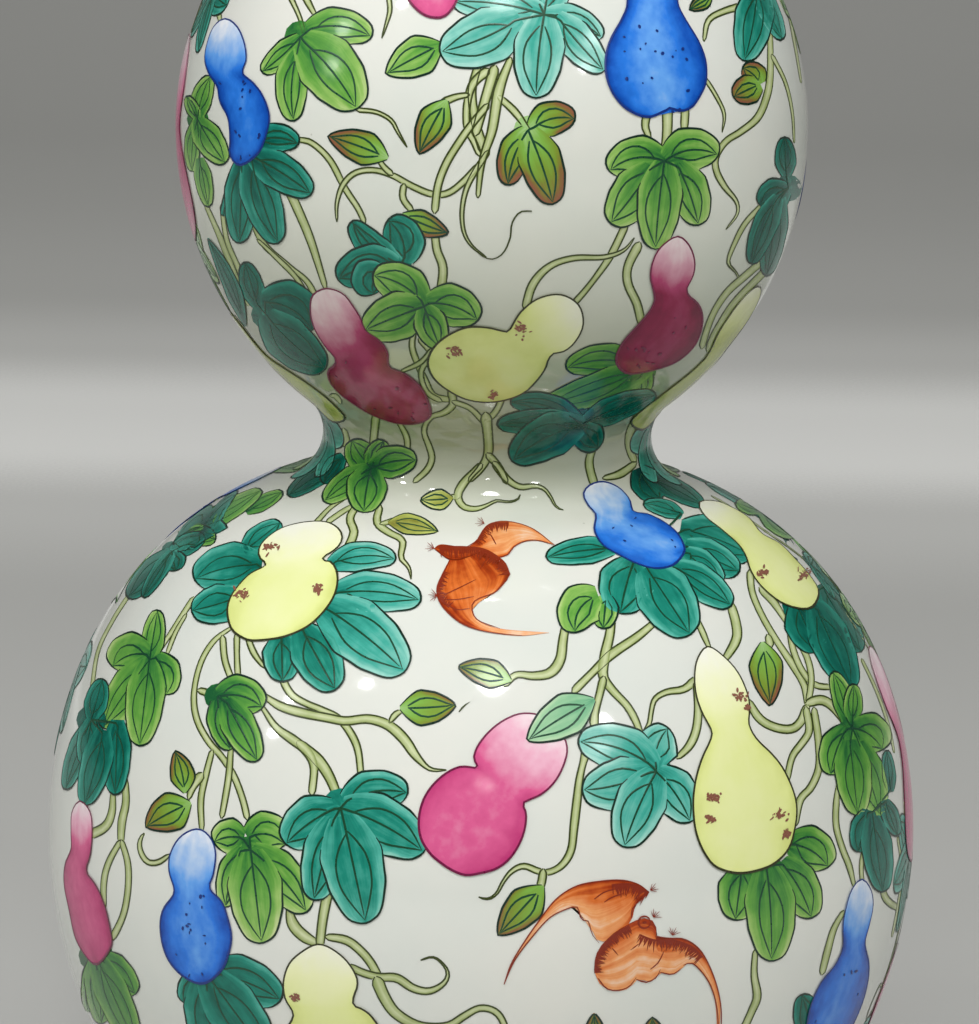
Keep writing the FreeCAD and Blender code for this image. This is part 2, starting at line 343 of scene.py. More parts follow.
def within(points, polygon):
    # Which of these points lie inside a closed polygon.
    x, y = points[:, 0][:, None], points[:, 1][:, None]
    a, b = polygon, np.roll(polygon, -1, axis=0)
    spans = (a[None, :, 1] > y) != (b[None, :, 1] > y)
    slope = (b[:, 0] - a[:, 0]) / np.where(np.abs(b[:, 1] - a[:, 1]) < tiny, tiny, b[:, 1] - a[:, 1])
    crossing = x < slope[None, :] * (y - a[None, :, 1]) + a[None, :, 0]
    return (spans & crossing).sum(1) % 2 == 1


def covered(points, polygons):
    # Which of these points lie inside any of the polygons.
    hidden = np.zeros(len(points), bool)
    for polygon in polygons:
        hidden |= within(points, polygon)
    return hidden


def addShownRuns(paint, path, shown, widths, place, lift, taper, spacing):
    # The parts of a line that other strokes leave bare, unless they are too short to see.
    start = None
    for i, seen in enumerate([*shown, False]):
        if seen and start is None:
            start = i
        if not seen and start is not None:
            if i - start >= 4:
                addLine(paint, path[start:i], widths, place, lift, taper, spacing)
            start = None


def finishPaint(name, paint, material, smoothAngle=40):
    if not paint["points"]:
        return None
    mesh = bpy.data.meshes.new(name)
    points = np.concatenate(paint["points"]) * mm
    mesh.from_pydata(points.tolist(), [], paint["faces"])
    for key in ("along", "across", "wash"):
        values = mesh.attributes.new(key, "FLOAT", "POINT")
        values.data.foreach_set("value", np.concatenate(paint[key]).astype(np.float32))
    mesh.polygons.foreach_set("use_smooth", [True] * len(mesh.polygons))
    mesh.set_sharp_from_angle(angle=math.radians(smoothAngle))
    mesh.materials.append(material)
    piece = bpy.data.objects.new(name, mesh)
    bpy.context.scene.collection.objects.link(piece)
    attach(piece, "root")
    return piece


# colours and materials


def fromHex(text):
    # An sRGB hex colour as linear values.
    parts = [int(text[i:i + 2], 16) / 255 for i in (1, 3, 5)]
    return [c / 12.92 if c <= 0.04045 else ((c + 0.055) / 1.055) ** 2.4 for c in parts] + [1.0]


def addNode(tree, kind, inputs=(), stops=(), **settings):
    # A node with its settings, for each input a value or the socket that feeds it, and a ramp's colour stops.
    node = tree.nodes.new(kind)
    for key, value in settings.items():
        setattr(node, key, value)
    for key, value in dict(inputs).items():
        if isinstance(value, bpy.types.NodeSocket):
            tree.links.new(value, node.inputs[key])
        else:
            node.inputs[key].default_value = value
    if stops:
        elements = node.color_ramp.elements
        while len(elements) < len(stops):
            elements.new(0.5)
        for element, (spot, colour) in zip(elements, stops):
            element.position = spot
            element.color = fromHex(colour)
    return node


def newMaterial(name, settings):
    material = bpy.data.materials.new(name)
    material.use_nodes = True
    tree = material.node_tree
    shader = tree.nodes["Principled BSDF"]
    for key, value in settings.items():
        shader.inputs[key].default_value = value
    place = addNode(tree, "ShaderNodeTexCoord").outputs["Object"]
    return material, tree, shader, place


paintedWaistShade = {
    # painted shade: how much a colour is darkened, greyed and greened about the waist's hollow and under the
    # upper bulb, by height
    "low": 140.0, "high": 245.0,
    "shades": [(0.0, "#FFFFFF"), (0.12, "#FFFFFF"), (0.2, "#DDE0D2"), (0.27, "#B4B9A0"), (0.36, "#B4B9A0"),
               (0.46, "#C8CCBA"), (0.6, "#E6E8E0"), (0.78, "#F8F9F6"), (1.0, "#FFFFFF")],
}


def paintShadeAboutWaist(tree, place, colour, share=1.0):
    # Painted shade about the waist's hollow and under the upper bulb: colours get darker, greyer and greener
    # there, by height.
    spot = addNode(tree, "ShaderNodeSeparateXYZ", {0: place})
    climb = addNode(tree, "ShaderNodeMapRange", {
        "Value": spot.outputs["Z"],
        "From Min": paintedWaistShade["low"] * mm, "From Max": paintedWaistShade["high"] * mm})
    shade = addNode(tree, "ShaderNodeValToRGB", {"Fac": climb.outputs[0]}, paintedWaistShade["shades"])
    mix = addNode(tree, "ShaderNodeMix", data_type="RGBA", blend_type="MULTIPLY")
    mix.inputs[0].default_value = share
    tree.links.new(colour, mix.inputs[6])
    tree.links.new(shade.outputs["Color"], mix.inputs[7])
    return mix.outputs[2]


enamelLook = {
    "ior": 1.52, "specular": 0.34, "bump": 0.12, "bumpHeight": 0.05, "paintedShadeShare": 0.4,
    "streakLength": 1.4,  # clouds along a stroke
    "apart": 9.0,  # so that two strokes at different heights don't share their streaks
    "fewest": 0.3, "most": 0.7,  # the noise's usual range
}
enamels = {
    # gloss, streaks across a stroke and their depth, the mottle's size and depth, and colours, thin to thick
    "teal": (0.16, 7.0, 0.13, 3.0, 0.07, [
        (0.0, "#9DD5C3"), (0.26, "#55B2A0"), (0.52, "#208875"), (0.78, "#0A6152"), (1.0, "#033D38")]),
    "green": (0.16, 7.0, 0.14, 3.0, 0.07, [
        (0.0, "#C6D698"), (0.28, "#95BE64"), (0.55, "#64A144"), (0.8, "#3E813A"), (1.0, "#1F5C34")]),
    "tealLight": (0.16, 7.0, 0.12, 3.0, 0.07, [
        (0.0, "#B9E0D3"), (0.3, "#86C9BA"), (0.6, "#43A897"), (0.85, "#1D7F6F"), (1.0, "#10564A")]),
    "greenPale": (0.16, 7.0, 0.12, 3.0, 0.07, [
        (0.0, "#CFE0BC"), (0.4, "#A6CFA4"), (0.75, "#78B58A"), (1.0, "#3F8468")]),
    "autumn": (0.16, 6.0, 0.10, 3.0, 0.06, [
        (0.0, "#8E5A44"), (0.14, "#86683A"), (0.34, "#7C9536"), (0.64, "#7FB04B"), (1.0, "#A6C98A")]),
    "stem": (0.2, 2.0, 0.12, 4.0, 0.12, [(0.0, "#CDD5A8"), (0.45, "#A0AE70"), (1.0, "#66773A")]),
    "bud": (0.18, 4.0, 0.12, 3.0, 0.08, [
        (0.0, "#DCE2A0"), (0.4, "#B5BF63"), (0.75, "#8A8B3C"), (1.0, "#6A5A2A")]),
    "yellow": (0.14, 2.5, 0.05, 7.0, 0.07, [
        (0.0, "#F4F4E4"), (0.3, "#F1F4C0"), (0.65, "#E5EC9C"), (1.0, "#BEC75C")]),
    "pink": (0.14, 3.0, 0.06, 3.0, 0.06, [
        (0.0, "#F3EBEA"), (0.25, "#EDB4C8"), (0.55, "#DA5E90"), (0.8, "#BE3A74"), (1.0, "#8E1D4E")]),
    "ruby": (0.14, 3.0, 0.08, 3.0, 0.05, [
        (0.0, "#EFE6E4"), (0.25, "#DBA9B8"), (0.55, "#B44270"), (0.8, "#901647"), (1.0, "#5C0A2B")]),
    "blue": (0.14, 3.0, 0.08, 3.0, 0.07, [
        (0.0, "#EEF1F6"), (0.2, "#B2CDEF"), (0.42, "#66A4EC"), (0.62, "#2C7ADE"), (0.82, "#1655B8"),
        (1.0, "#0C2F80")]),
    "iron": (0.3, 9.0, 0.16, 2.5, 0.08, [
        (0.0, "#F3DFC8"), (0.3, "#EBA267"), (0.6, "#D66C2B"), (0.82, "#A5380C"), (1.0, "#722006")]),
}


def enamelMaterial(name, gloss, streaks, streakDepth, mottle, mottleDepth, colours):
    # Glassy overglaze enamel laid with a brush: the wash runs from thin to thick, in streaks along it, with
    # a finer mottle where it pooled, and stands a little proud, so it shines as the glaze does.
    look = enamelLook
    material, tree, shader, place = newMaterial(name, {
        "Roughness": gloss, "IOR": look["ior"], "Specular IOR Level": look["specular"]})
    wash, along, across = [addNode(tree, "ShaderNodeAttribute", attribute_name=key).outputs["Fac"]
                           for key in ("wash", "along", "across")]
    spot = addNode(tree, "ShaderNodeSeparateXYZ", {0: place})
    height = spot.outputs["Z"]
    scales = {"X": (along, look["streakLength"]), "Y": (across, streaks), "Z": (height, look["apart"])}
    scaled = {}
    for axis, (length, scale) in scales.items():
        times = addNode(tree, "ShaderNodeMath", {0: length, 1: scale}, operation="MULTIPLY")
        scaled[axis] = times.outputs[0]
    stroke = addNode(tree, "ShaderNodeCombineXYZ", scaled)
    streak = addNode(tree, "ShaderNodeTexNoise", {
        "Vector": stroke.outputs[0], "Scale": 1.0, "Detail": 3.0, "Roughness": 0.6})
    cloud = addNode(tree, "ShaderNodeTexNoise", {"Vector": place, "Scale": 1 / (mottle * mm), "Detail": 4.0})
    total = wash
    for noise, reach in ((streak, streakDepth), (cloud, mottleDepth)):
        shift = addNode(tree, "ShaderNodeMapRange", {
            "Value": noise.outputs["Fac"], "From Min": look["fewest"], "From Max": look["most"],
            "To Min": -reach, "To Max": reach})
        both = addNode(tree, "ShaderNodeMath", {0: total, 1: shift.outputs[0]}, operation="ADD")
        total = both.outputs[0]
    both.use_clamp = True
    colour = addNode(tree, "ShaderNodeValToRGB", {"Fac": total}, colours).outputs["Color"]
    # the enamel's colour gets the painted shade about the waist, at part strength
    tree.links.new(paintShadeAboutWaist(tree, place, colour, look["paintedShadeShare"]), shader.inputs["Base Color"])
    bump = addNode(tree, "ShaderNodeBump", {
        "Height": total, "Strength": look["bump"], "Distance": look["bumpHeight"] * mm})
    tree.links.new(bump.outputs["Normal"], shader.inputs["Normal"])
    return material


paints = {name: enamelMaterial(name + "Enamel", *look) for name, look in enamels.items()}


def inkMaterial(name, colour, gloss):
    # The outline's brush line: black or iron pigment under the enamels, dense and slightly less glossy.
    material, tree, shader, place = newMaterial(name, {"Base Color": fromHex(colour), "IOR": 1.5})
    grain = addNode(tree, "ShaderNodeTexNoise", {"Vector": place, "Scale": 1 / (0.8 * mm), "Detail": 2.0})
    shine = addNode(tree, "ShaderNodeMapRange", {
        "Value": grain.outputs["Fac"], "To Min": gloss - 0.1, "To Max": gloss + 0.1})
    tree.links.new(shine.outputs[0], shader.inputs["Roughness"])
    return material


inks = {
    "leaf": inkMaterial("leafOutlineInk", "#142E22", 0.3),
    "vein": inkMaterial("leafVeinInk", "#18472F", 0.3),
    "stem": inkMaterial("stemOutlineInk", "#3A4419", 0.3),
    "gourd": inkMaterial("gourdOutlineInk", "#35361E", 0.3),
    "ruby": inkMaterial("rubyOutlineInk", "#6E1440", 0.3),
    "blue": inkMaterial("blueOutlineInk", "#14307A", 0.3),
    "iron": inkMaterial("batOutlineInk", "#84280F", 0.35),
    "brown": inkMaterial("brownSpotInk", "#8A5A48", 0.3),
}


# motifs: each takes sketch points, in photo pixels, and the way they are laid on the wall

lobeLook = {
    "rows": 14, "columns": 8, "crowding": 0.6,
    "fullest": 0.42, "closing": 3.2, "tip": 0.4,  # its widest place, how late it closes, its end's half width
    "base": 0.42, "blunt": 0.46,  # how wide it springs, and how round its tip is
    "aloneBase": 0.1, "aloneBlunt": 0.85, "aloneWidth": 0.92,  # the same for a leaf of one lobe
    "scallop": 0.018, "scallops": 3.5,
    "lift": 0.011, "edgeWash": -0.3, "washCurve": 0.8,
    "heartPatch": 0.24,  # how far the dark heart reaches, as a share of the lobes
    "outline": 0.45, "outlineFrom": 0.1, "outlineUnder": 0.36,  # nearer the heart, lower lines don't show
    "vein": 0.33, "veinFrom": 0.14, "middleFrom": 0.3, "middleTo": 0.93,
    "sideFrom": 0.12, "sideTo": 0.97, "sideBow": 0.54, "sideCurve": 0.7,
    "unevenFrom": 0.05, "unevenBow": 0.08,
    "spokeFrom": 0.05, "spokeTo": 0.34, "spokeUnder": 0.22,  # the middle veins where they meet
}
gourdLook = {
    "rows": 32, "columns": 13, "crowding": 0.45, "outline": 0.4,
    "crownWash": 0.03, "crownCurve": 1.6, "footFrom": 0.72, "rimCurve": 2.2,
    "scarDabs": 10, "scarDensity": 2.2, "scarWide": 0.42, "scarHigh": 0.32,
}
gourdInks = {"blue": "blue", "ruby": "ruby", "pink": "ruby"}
stemLook = {"outline": 0.33, "spacing": 5.6, "middleWash": 0.08, "edgeWash": 0.62, "washCurve": 1.5,
            "caps": [0.0, 0.3, 0.9, 2.0], "capLength": 2.6}
batLook = {"rows": 30, "columns": 11, "washBlend": 1.5, "washShare": 1.1, "leastWash": 0.04,
           "rimWash": 0.14, "rimCurve": 6, "hatchEvery": 0.9, "hatchLift": 0.08, "fineLift": 0.07,
           "headLift": 0.09, "hairTurn": 22, "hairLength": 7}
strokeCount = {key: 0 for key in strokeHeights}
liftStep, liftCycle, dabLift = 0.004, 10, 0.06


def nextLift(kind):
    # Later strokes lie over earlier ones, and gourds over leaves over stems, as they were painted.
    strokeCount[kind] += 1
    return strokeHeights[kind] + liftStep * (strokeCount[kind] % liftCycle)


def crowded(count, share):
    # Steps from 0 to 1, closer together near both ends.
    even = np.linspace(0, 1, count)
    return share * (1 - np.cos(even * math.pi)) / 2 + (1 - share) * even


def closedEdges(left, right, rows):
    # Two edges that meet smoothly at both ends, sampled in as many rows.
    ring = np.vstack([np.asarray(left, float), np.asarray(right, float)[-2:0:-1]])
    foot = spanSteps * (len(left) - 1)
    smooth = roundedSpans(np.vstack([ring[-1:], ring, ring[:3]]))[:spanSteps * len(ring)]
    edges = []
    for path in (smooth[:foot + 1], np.vstack([smooth[foot:], smooth[:1]])[::-1]):
        lengths = lengthsAlong(path)
        edges.append(sampled(path, lengths, crowded(rows, gourdLook["crowding"]) * lengths[-1]))
    return edges


def lobeShape(start, tip, width, bend, base, blunt):
    # Steps along a lobe, its centreline, its sideways direction and its half widths.
    look = lobeLook
    start, tip = np.asarray(start, float), np.asarray(tip, float)
    even = np.linspace(0, 1, 60)
    t = even[:, None]
    ahead = tip - start
    middle = (start + tip) / 2 + bend * np.array([-ahead[1], ahead[0]])
    line = (1 - t) ** 2 * start + 2 * t * (1 - t) * middle + t ** 2 * tip
    side = turnedLeft(unitSlopes(line))
    s = crowded(look["rows"], look["crowding"])
    swell = base + (1 - base) * np.sin(np.minimum(s / look["fullest"], 1) * math.pi / 2)
    half = width / 2 * swell * np.clip(1 - s ** look["closing"], 0, 1) ** blunt
    half *= 1 + look["scallop"] * np.sin(2 * math.pi * look["scallops"] * s)
    half[-1] = look["tip"]
    return s, sampled(line, even, s), sampled(side, even, s), half


def leafShapes(lobes, heart):
    # Every lobe's shape, and its outline as a closed polygon.
    look = lobeLook
    shapes, polygons = [], []
    for lobe in lobes:
        start, tip, width, *bend = lobe if isinstance(lobe[1], tuple) else (heart, *lobe)
        base, blunt = look["base"], look["blunt"]
        if len(lobes) == 1:
            base, blunt, width = look["aloneBase"], look["aloneBlunt"], width * look["aloneWidth"]
        shape = lobeShape(start, tip, width, bend[0] if bend else 0.0, base, blunt)
        _, line, side, half = shape
        shapes.append(shape)
        polygons.append(np.vstack([line + side * half[:, None], (line - side * half[:, None])[::-1]]))
    return shapes, polygons


def shareOut(path, origin, tip):
    # How far along from the origin to the tip these points are.
    return np.linalg.norm(path - origin, axis=1) / max(np.linalg.norm(tip - origin), tiny)


def leaf(name, place, ink, colour, heart, depth, lobes, veins=3, raised=0.0, covers=(), level=0):
    # A leaf of several lobes: deep colour where they spring, thinner at their tips, dark veins and outlines.
    look = lobeLook
    fill = newPaint()
    shapes, polygons = leafShapes(lobes, heart)
    t = np.linspace(-1, 1, look["columns"])
    wide, fine = look["outline"], look["vein"]
    outlineWidths = [wide * 0.7, wide, wide * 0.8, wide, wide * 0.7]
    spoked = heart is not None and len(shapes) > 2
    if spoked:
        heart = np.asarray(heart, float)
        lengths = [np.linalg.norm(line[-1] - line[0]) for _, line, _, _ in shapes]
        turns = np.linspace(0, 2 * math.pi, 13)
        reach = look["heartPatch"] * np.mean(lengths) * np.linspace(0.05, 1, 4)
        rings = reach[:, None, None] * np.stack([np.cos(turns), np.sin(turns)], -1)
        addSheet(fill, heart + rings, place, strokeHeights["leaf"] + look["lift"] * (level - 0.5), depth[0])
    for i, (s, line, side, half) in enumerate(shapes):
        lift = strokeHeights["leaf"] + look["lift"] * (level + i) + raised
        grid = line[:, None, :] + side[:, None, :] * (half[:, None] * t[None, :])[..., None]
        wash = depth[0] + (depth[1] - depth[0]) * s[:, None] ** look["washCurve"]
        addSheet(fill, grid, place, lift, np.clip(wash + look["edgeWash"] * np.abs(t)[None, :] ** 3, 0, 1))
        over, under = polygons[i + 1:], polygons[:i]
        rim = smoothPath(np.vstack([grid[:, -1], grid[-2::-1, 0]]), 1.0)
        out = shareOut(rim, line[0], line[-1])
        shown = (out > look["outlineFrom"]) | (len(shapes) == 1)
        shown &= ~covered(rim, [*over, *covers]) & ~(covered(rim, under) & (out < look["outlineUnder"]))
        addShownRuns(ink["leaf"], rim, shown, outlineWidths, place, lift + lineLift, (0.5, 0.5), 4.5)
        for bow in (0.0, -1.0, 1.0)[:veins]:
            first, last = 0.0, look["middleTo"]
            if bow:
                first, last = look["sideFrom"] + look["unevenFrom"] * math.sin(5 * i + bow), look["sideTo"]
            at = np.linspace(first, last, 12)
            arch = np.sin((at - first) / (last - first) * math.pi) ** look["sideCurve"]
            aside = bow * (look["sideBow"] + look["unevenBow"] * math.cos(3 * i + bow)) * arch
            spine, sideways = sampled(line, s, at), sampled(side, s, at)
            vein = smoothPath(spine + sideways * (np.interp(at, s, half) * aside)[:, None], 1.0)
            out = shareOut(vein, line[0], line[-1])
            shown = out > (look["middleFrom"] if bow == 0 and spoked else look["veinFrom"])
            shown &= ~(covered(vein, over) & (out > (0.0 if bow else look["middleFrom"])))
            shown &= ~covered(vein, covers)
            addShownRuns(ink["vein"], vein, shown, [fine * 1.3, fine], place, lift + lineLift * 0.7,
                         (0.6, 0.4), 7.0)
    if spoked:
        # the middle veins show through the other lobes where they meet at the heart
        top = strokeHeights["leaf"] + look["lift"] * (level + len(shapes) - 1) + raised
        for i, (s, line, _, _) in enumerate(shapes):
            spine = sampled(line, s, np.linspace(look["spokeFrom"], look["spokeTo"], 5))
            spoke = smoothPath(np.vstack([heart, spine]), 1.0)
            out = shareOut(spoke, heart, line[-1])
            shown = ~(covered(spoke, polygons[i + 1:]) & (out > look["spokeUnder"]))
            shown &= ~covered(spoke, covers)
            addShownRuns(ink["vein"], spoke, shown, [fine * 1.5, fine * 1.2], place, top + lineLift * 0.7,
                         (0.8, 0.9), 6.0)
    return finishPaint(name, fill, paints[colour])


def dab(ink, place, x, y, long, wide, angle=0.0):
    # One small touch of the brush.
    dx, dy = long / 2 * math.cos(angle), long / 2 * math.sin(angle)
    addLine(ink, [(x - dx, y - dy), (x, y), (x + dx, y + dy)], wide, place,
            strokeHeights["over"] + lineLift + dabLift, (0.5, 0.5), max(long / 3, 0.4))


def gourd(name, place, ink, colour, left, right, crownEnd=0.38, heartWash=0.5, rimWash=0.95, spots=0,
          scars=(), seed=1):
    # A painted gourd between two edges traced from crown to foot: white at its crown, colour that deepens
    # to the rim, a fine outline, and spots or rosy scars.
    look = gourdLook
    fill = newPaint()
    line = ink[gourdInks.get(colour, "gourd")]
    edges = closedEdges(left, right, look["rows"])
    t = np.sin(np.linspace(-math.pi / 2, math.pi / 2, look["columns"]))
    blend = (t[None, :, None] + 1) / 2
    grid = edges[0][:, None, :] * (1 - blend) + edges[1][:, None, :] * blend
    s = crowded(look["rows"], look["crowding"])
    fromCrown = np.clip(s / crownEnd, 0, 1)[:, None] ** look["crownCurve"]
    foot = np.clip((s - look["footFrom"]) / (1 - look["footFrom"]), 0, 1)[:, None] ** 2
    rim = np.maximum(np.abs(t)[None, :] ** look["rimCurve"], foot)
    full = heartWash + (rimWash - heartWash) * rim
    bare = look["crownWash"]
    lift = nextLift("gourd")
    addSheet(fill, grid, place, lift, np.clip(bare + (full - bare) * fromCrown, 0, 1))
    wide = look["outline"]
    addLine(line, np.vstack([edges[0], edges[1][-2::-1]]), [wide * 0.8, wide, wide * 1.2, wide, wide * 0.8],
            place, lift + lineLift, (1, 1))
    rnd = random.Random(seed)
    for _ in range(spots):
        row, off = rnd.uniform(0.42, 0.93), rnd.uniform(0.12, 0.88)
        (x0, y0), (x1, y1) = [sampled(edge, s, row) for edge in edges]
        dab(line, place, x0 * (1 - off) + x1 * off, y0 * (1 - off) + y1 * off, rnd.uniform(1.2, 4.0),
            rnd.uniform(0.24, 0.7), rnd.uniform(0, 3))
    for x, y, size in scars:
        for _ in range(int(look["scarDabs"] + size * look["scarDensity"])):
            dab(ink["brown"], place, x + rnd.gauss(0, size * look["scarWide"]),
                y + rnd.gauss(0, size * look["scarHigh"]), rnd.uniform(1.5, 5.5), rnd.uniform(0.2, 0.55),
                rnd.uniform(0, 3))
    return finishPaint(name, fill, paints[colour])


def stemShape(points, widths):
    # Centreline and sideways reach of a stem with rounded ends, and its outline.
    points = np.asarray(points, float)
    outward = [points[0] - points[1], points[-1] - points[-2]]
    for end, out, width in ((0, outward[0], widths[0]), (-1, outward[1], widths[-1])):
        points[end] += out / max(np.linalg.norm(out), tiny) * width / 2
    path = smoothPath(points, stemLook["spacing"])
    ahead = lengthsAlong(path)
    caps, inner = np.array(stemLook["caps"]), stemLook["capLength"]
    between = ahead[(ahead > inner) & (ahead < ahead[-1] - inner)]
    steps = np.unique(np.concatenate([caps, between, ahead[-1] - caps]))
    path = sampled(path, ahead, steps)
    width = np.interp(steps / ahead[-1], np.linspace(0, 1, len(widths)), widths)
    width = width * np.sqrt(np.clip(np.minimum(steps, ahead[-1] - steps) / (0.5 * width) + 0.02, 0, 1))
    side = turnedLeft(unitSlopes(path)) * (width / 2)[:, None]
    return path, side, np.vstack([path + side, (path - side)[::-1]])


def stem(stems, ink, place, shape, covers):
    # A vine's stem: a pale stroke between two fine outlines, hidden where other strokes cover them.
    path, side, _ = shape
    t = np.linspace(-1, 1, 5)
    grid = path[:, None, :] + side[:, None, :] * t[None, :, None]
    lift = nextLift("stem")
    addSheet(stems, grid, place, lift,
             stemLook["middleWash"] + stemLook["edgeWash"] * np.abs(t)[None, :] ** stemLook["washCurve"])
    for sign in (-1, 1):
        edge = smoothPath(path + side * sign, 1.6)
        addShownRuns(ink["stem"], edge, ~covered(edge, covers), [stemLook["outline"]] * 2, place,
                     lift + lineLift * 0.7, (0.7, 0.7), 4.5)


def tendril(ink, place, points):
    addLine(ink["stem"], points, [0.32, 0.32, 0.16], place, nextLift("leaf") + lineLift, (0.7, 0.3))


def bat(name, place, ink, parts, hatching, lines, hairs, heads=()):
    # A bat in iron red: thin washes for body and wings, dark hatching where they join, lines and hairs.
    # A part is two edges with the depth of the wash along each.
    look = batLook
    iron = ink["iron"]
    height = strokeHeights["bat"]
    fill = newPaint()
    t = np.linspace(-1, 1, look["columns"])
    blend = (t[None, :] + 1) / 2
    even = np.linspace(0, 1, look["rows"])
    for left, right, *washes in parts:
        edges = [evenPath(edge, look["rows"])[:, None, :] for edge in (left, right)]
        grid = edges[0] * (1 - blend[..., None]) + edges[1] * blend[..., None]
        depths = [np.interp(even, np.linspace(0, 1, len(w)), w)[:, None] for w in washes]
        wash = depths[0] * (1 - blend) ** look["washBlend"] + depths[1] * blend ** look["washBlend"]
        wash = look["washShare"] * wash + look["leastWash"]
        wash += look["rimWash"] * np.abs(t)[None, :] ** look["rimCurve"]
        addSheet(fill, grid, place, nextLift("bat"), np.clip(wash, 0, 1))
    rnd = random.Random(len(name))
    for points, reach in hatching:
        path = smoothPath(points, look["hatchEvery"])
        for (x, y), (ahead, down) in zip(path, unitSlopes(path)):
            size = reach * rnd.uniform(0.45, 1.1)
            lean = rnd.uniform(-0.25, 0.25)
            tip = (x + size * (-down + lean * ahead), y + size * (ahead + lean * down))
            addLine(iron, [(x, y), tip], [0.34, 0.1], place, height + look["hatchLift"], (0.8, 0.2), 3.0)
    for points in lines:
        addLine(iron, points, [0.26, 0.24, 0.2], place, height + look["fineLift"], (0.6, 0.3))
    for x, y, angle, count in hairs:
        for k in range(count):
            turn = math.radians(angle + (k - (count - 1) / 2) * look["hairTurn"])
            reach = look["hairLength"] + 2 * (k % 2)
            tip = (x + reach * math.cos(turn), y + reach * math.sin(turn))
            addLine(iron, [(x, y), tip], [0.14, 0.1], place, height + look["fineLift"], (1.0, 0.2), 2.5)
    for x, y, size in heads:
        ring = [(x + size * math.cos(a), y + size * math.sin(a)) for a in np.linspace(0, 2 * math.pi, 13)]
        addLine(iron, ring, [0.24, 0.4, 0.24], place, height + look["headLift"], spacing=2.0)
        dab(iron, place, x, y, size * 0.7, 0.5)
    return finishPaint(name, fill, paints["iron"])


def leafOf(colour, heart, deep, thin, *lobes, **more):
    # A leaf's sketch: its wash at the heart and at the tips, and for each lobe its tip, width and bend,
    # after where it springs if that isn't the heart.
    return {"colour": colour, "heart": heart, "depth": (deep, thin), "lobes": lobes, **more}


def gourdOf(colour, left, right, **look):
    # A gourd's sketch: its left edge from crown to foot, and its right edge between the same two ends.
    return {"colour": colour, "left": left, "right": [left[0], *right, left[-1]], **look}


def leafSketch(colour, x, y, size, turn=0.0, fingers=5, spread=58.0, **more):
    # A palmate leaf that hangs from this spot: its outer fingers first, its middle one on top.
    lobes = []
    middle = (fingers - 1) / 2
    for k in sorted(range(fingers), key=lambda k: -abs(k - middle)):
        angle = math.radians(turn + (k - middle) * spread)
        reach = size * (1 - 0.13 * abs(k - middle))
        tip = (x + reach * math.sin(angle), y + reach * math.cos(angle))
        lobes.append((tip, size * 0.52, 0.05 * (k - middle)))
    return leafOf(colour, (x, y), 0.85, 0.42, *lobes, **more)


def gourdSketch(colour, x, y, length, turn=0.0, bow=0.05, **more):
    # A double gourd that hangs from this spot; its half widths are shares of its length.
    shares = [(0.0, 0.0), (0.03, 0.1), (0.11, 0.17), (0.23, 0.2), (0.35, 0.165), (0.42, 0.15), (0.5, 0.19),
              (0.62, 0.27), (0.76, 0.31), (0.88, 0.27), (0.96, 0.15), (1.0, 0.0)]
    cos, sin = math.cos(math.radians(turn)), math.sin(math.radians(turn))
    edges = []
    for sign in (-1, 1):
        sides = [(along, sign * half + bow * math.sin(along * math.pi)) for along, half in shares]
        edges.append([(x + length * (along * sin + across * cos), y + length * (along * cos - across * sin))
                      for along, across in sides])
    return gourdOf(colour, edges[0], edges[1][1:-1], **more)


def recoloured(region, swaps):
    # The same sketch with other enamels.
    leaves, gourds = {}, {}
    for key, look in region.get("leaves", {}).items():
        leaves[key] = {**look, "colour": swaps.get(look["colour"], look["colour"])}
    for key, look in region.get("gourds", {}).items():
        colour = swaps.get(look["colour"], look["colour"])
        marks = {"spots": 0} if colour == "yellow" else {"spots": 10, "scars": ()}
        gourds[key] = {**look, "colour": colour, **marks}
    return {**region, "leaves": leaves, "gourds": gourds}


def leafLevels(lobeOutlines):
    # How many lobes lie under each leaf where leaves overlap, so that the later ones are painted on top.
    levels, boxes = [], []
    for outlines in lobeOutlines:
        corners = np.vstack(outlines)
        box = [*corners.min(0), *corners.max(0)]
        below = [level + len(others) for level, others, (x0, y0, x1, y1) in zip(levels, lobeOutlines, boxes)
                 if x0 < box[2] and x1 > box[0] and y0 < box[3] and y1 > box[1]]
        levels.append(min(max(below, default=0), 6))
        boxes.append(box)
    return levels


def paintRegion(name, place, region):
    # Paints one region of the design: its stems, its leaves, gourds and bats, and one set of ink lines.
    ink = {key: newPaint() for key in inks}
    stems = newPaint()
    leaves, gourds = region.get("leaves", {}), region.get("gourds", {})
    gourdOutlines = []
    for look in gourds.values():
        left, right = closedEdges(look["left"], look["right"], gourdLook["rows"])
        gourdOutlines.append(np.vstack([left, right[::-1]]))
    lobeOutlines = [leafShapes(look["lobes"], look["heart"])[1] for look in leaves.values()]
    levels = leafLevels(lobeOutlines)
    stemShapes = [stemShape(points, widths) for points, *widths in region.get("stems", ())]
    for i, shape in enumerate(stemShapes):
        later = [outline for _, _, outline in stemShapes[i + 1:]]
        stem(stems, ink, place, shape, [*gourdOutlines, *sum(lobeOutlines, []), *later])
    finishPaint(name + "Stems", stems, paints["stem"])
    for points in region.get("tendrils", ()):
        tendril(ink, place, points)
    for i, (key, look) in enumerate(leaves.items()):
        covers = [] if "raised" in look else [*gourdOutlines, *sum(lobeOutlines[i + 1:], [])]
        leaf(name + "." + key, place, ink, covers=covers, level=levels[i], **look)
    for key, look in gourds.items():
        gourd(name + "." + key, place, ink, **look)
    for key, look in region.get("bats", {}).items():
        bat(name + "." + key, place, ink, **look)
    for key, paint in ink.items():
        finishPaint(f"{name}.{key}Lines", paint, inks[key], smoothAngle=80)
    print("painted:", name)


# porcelain

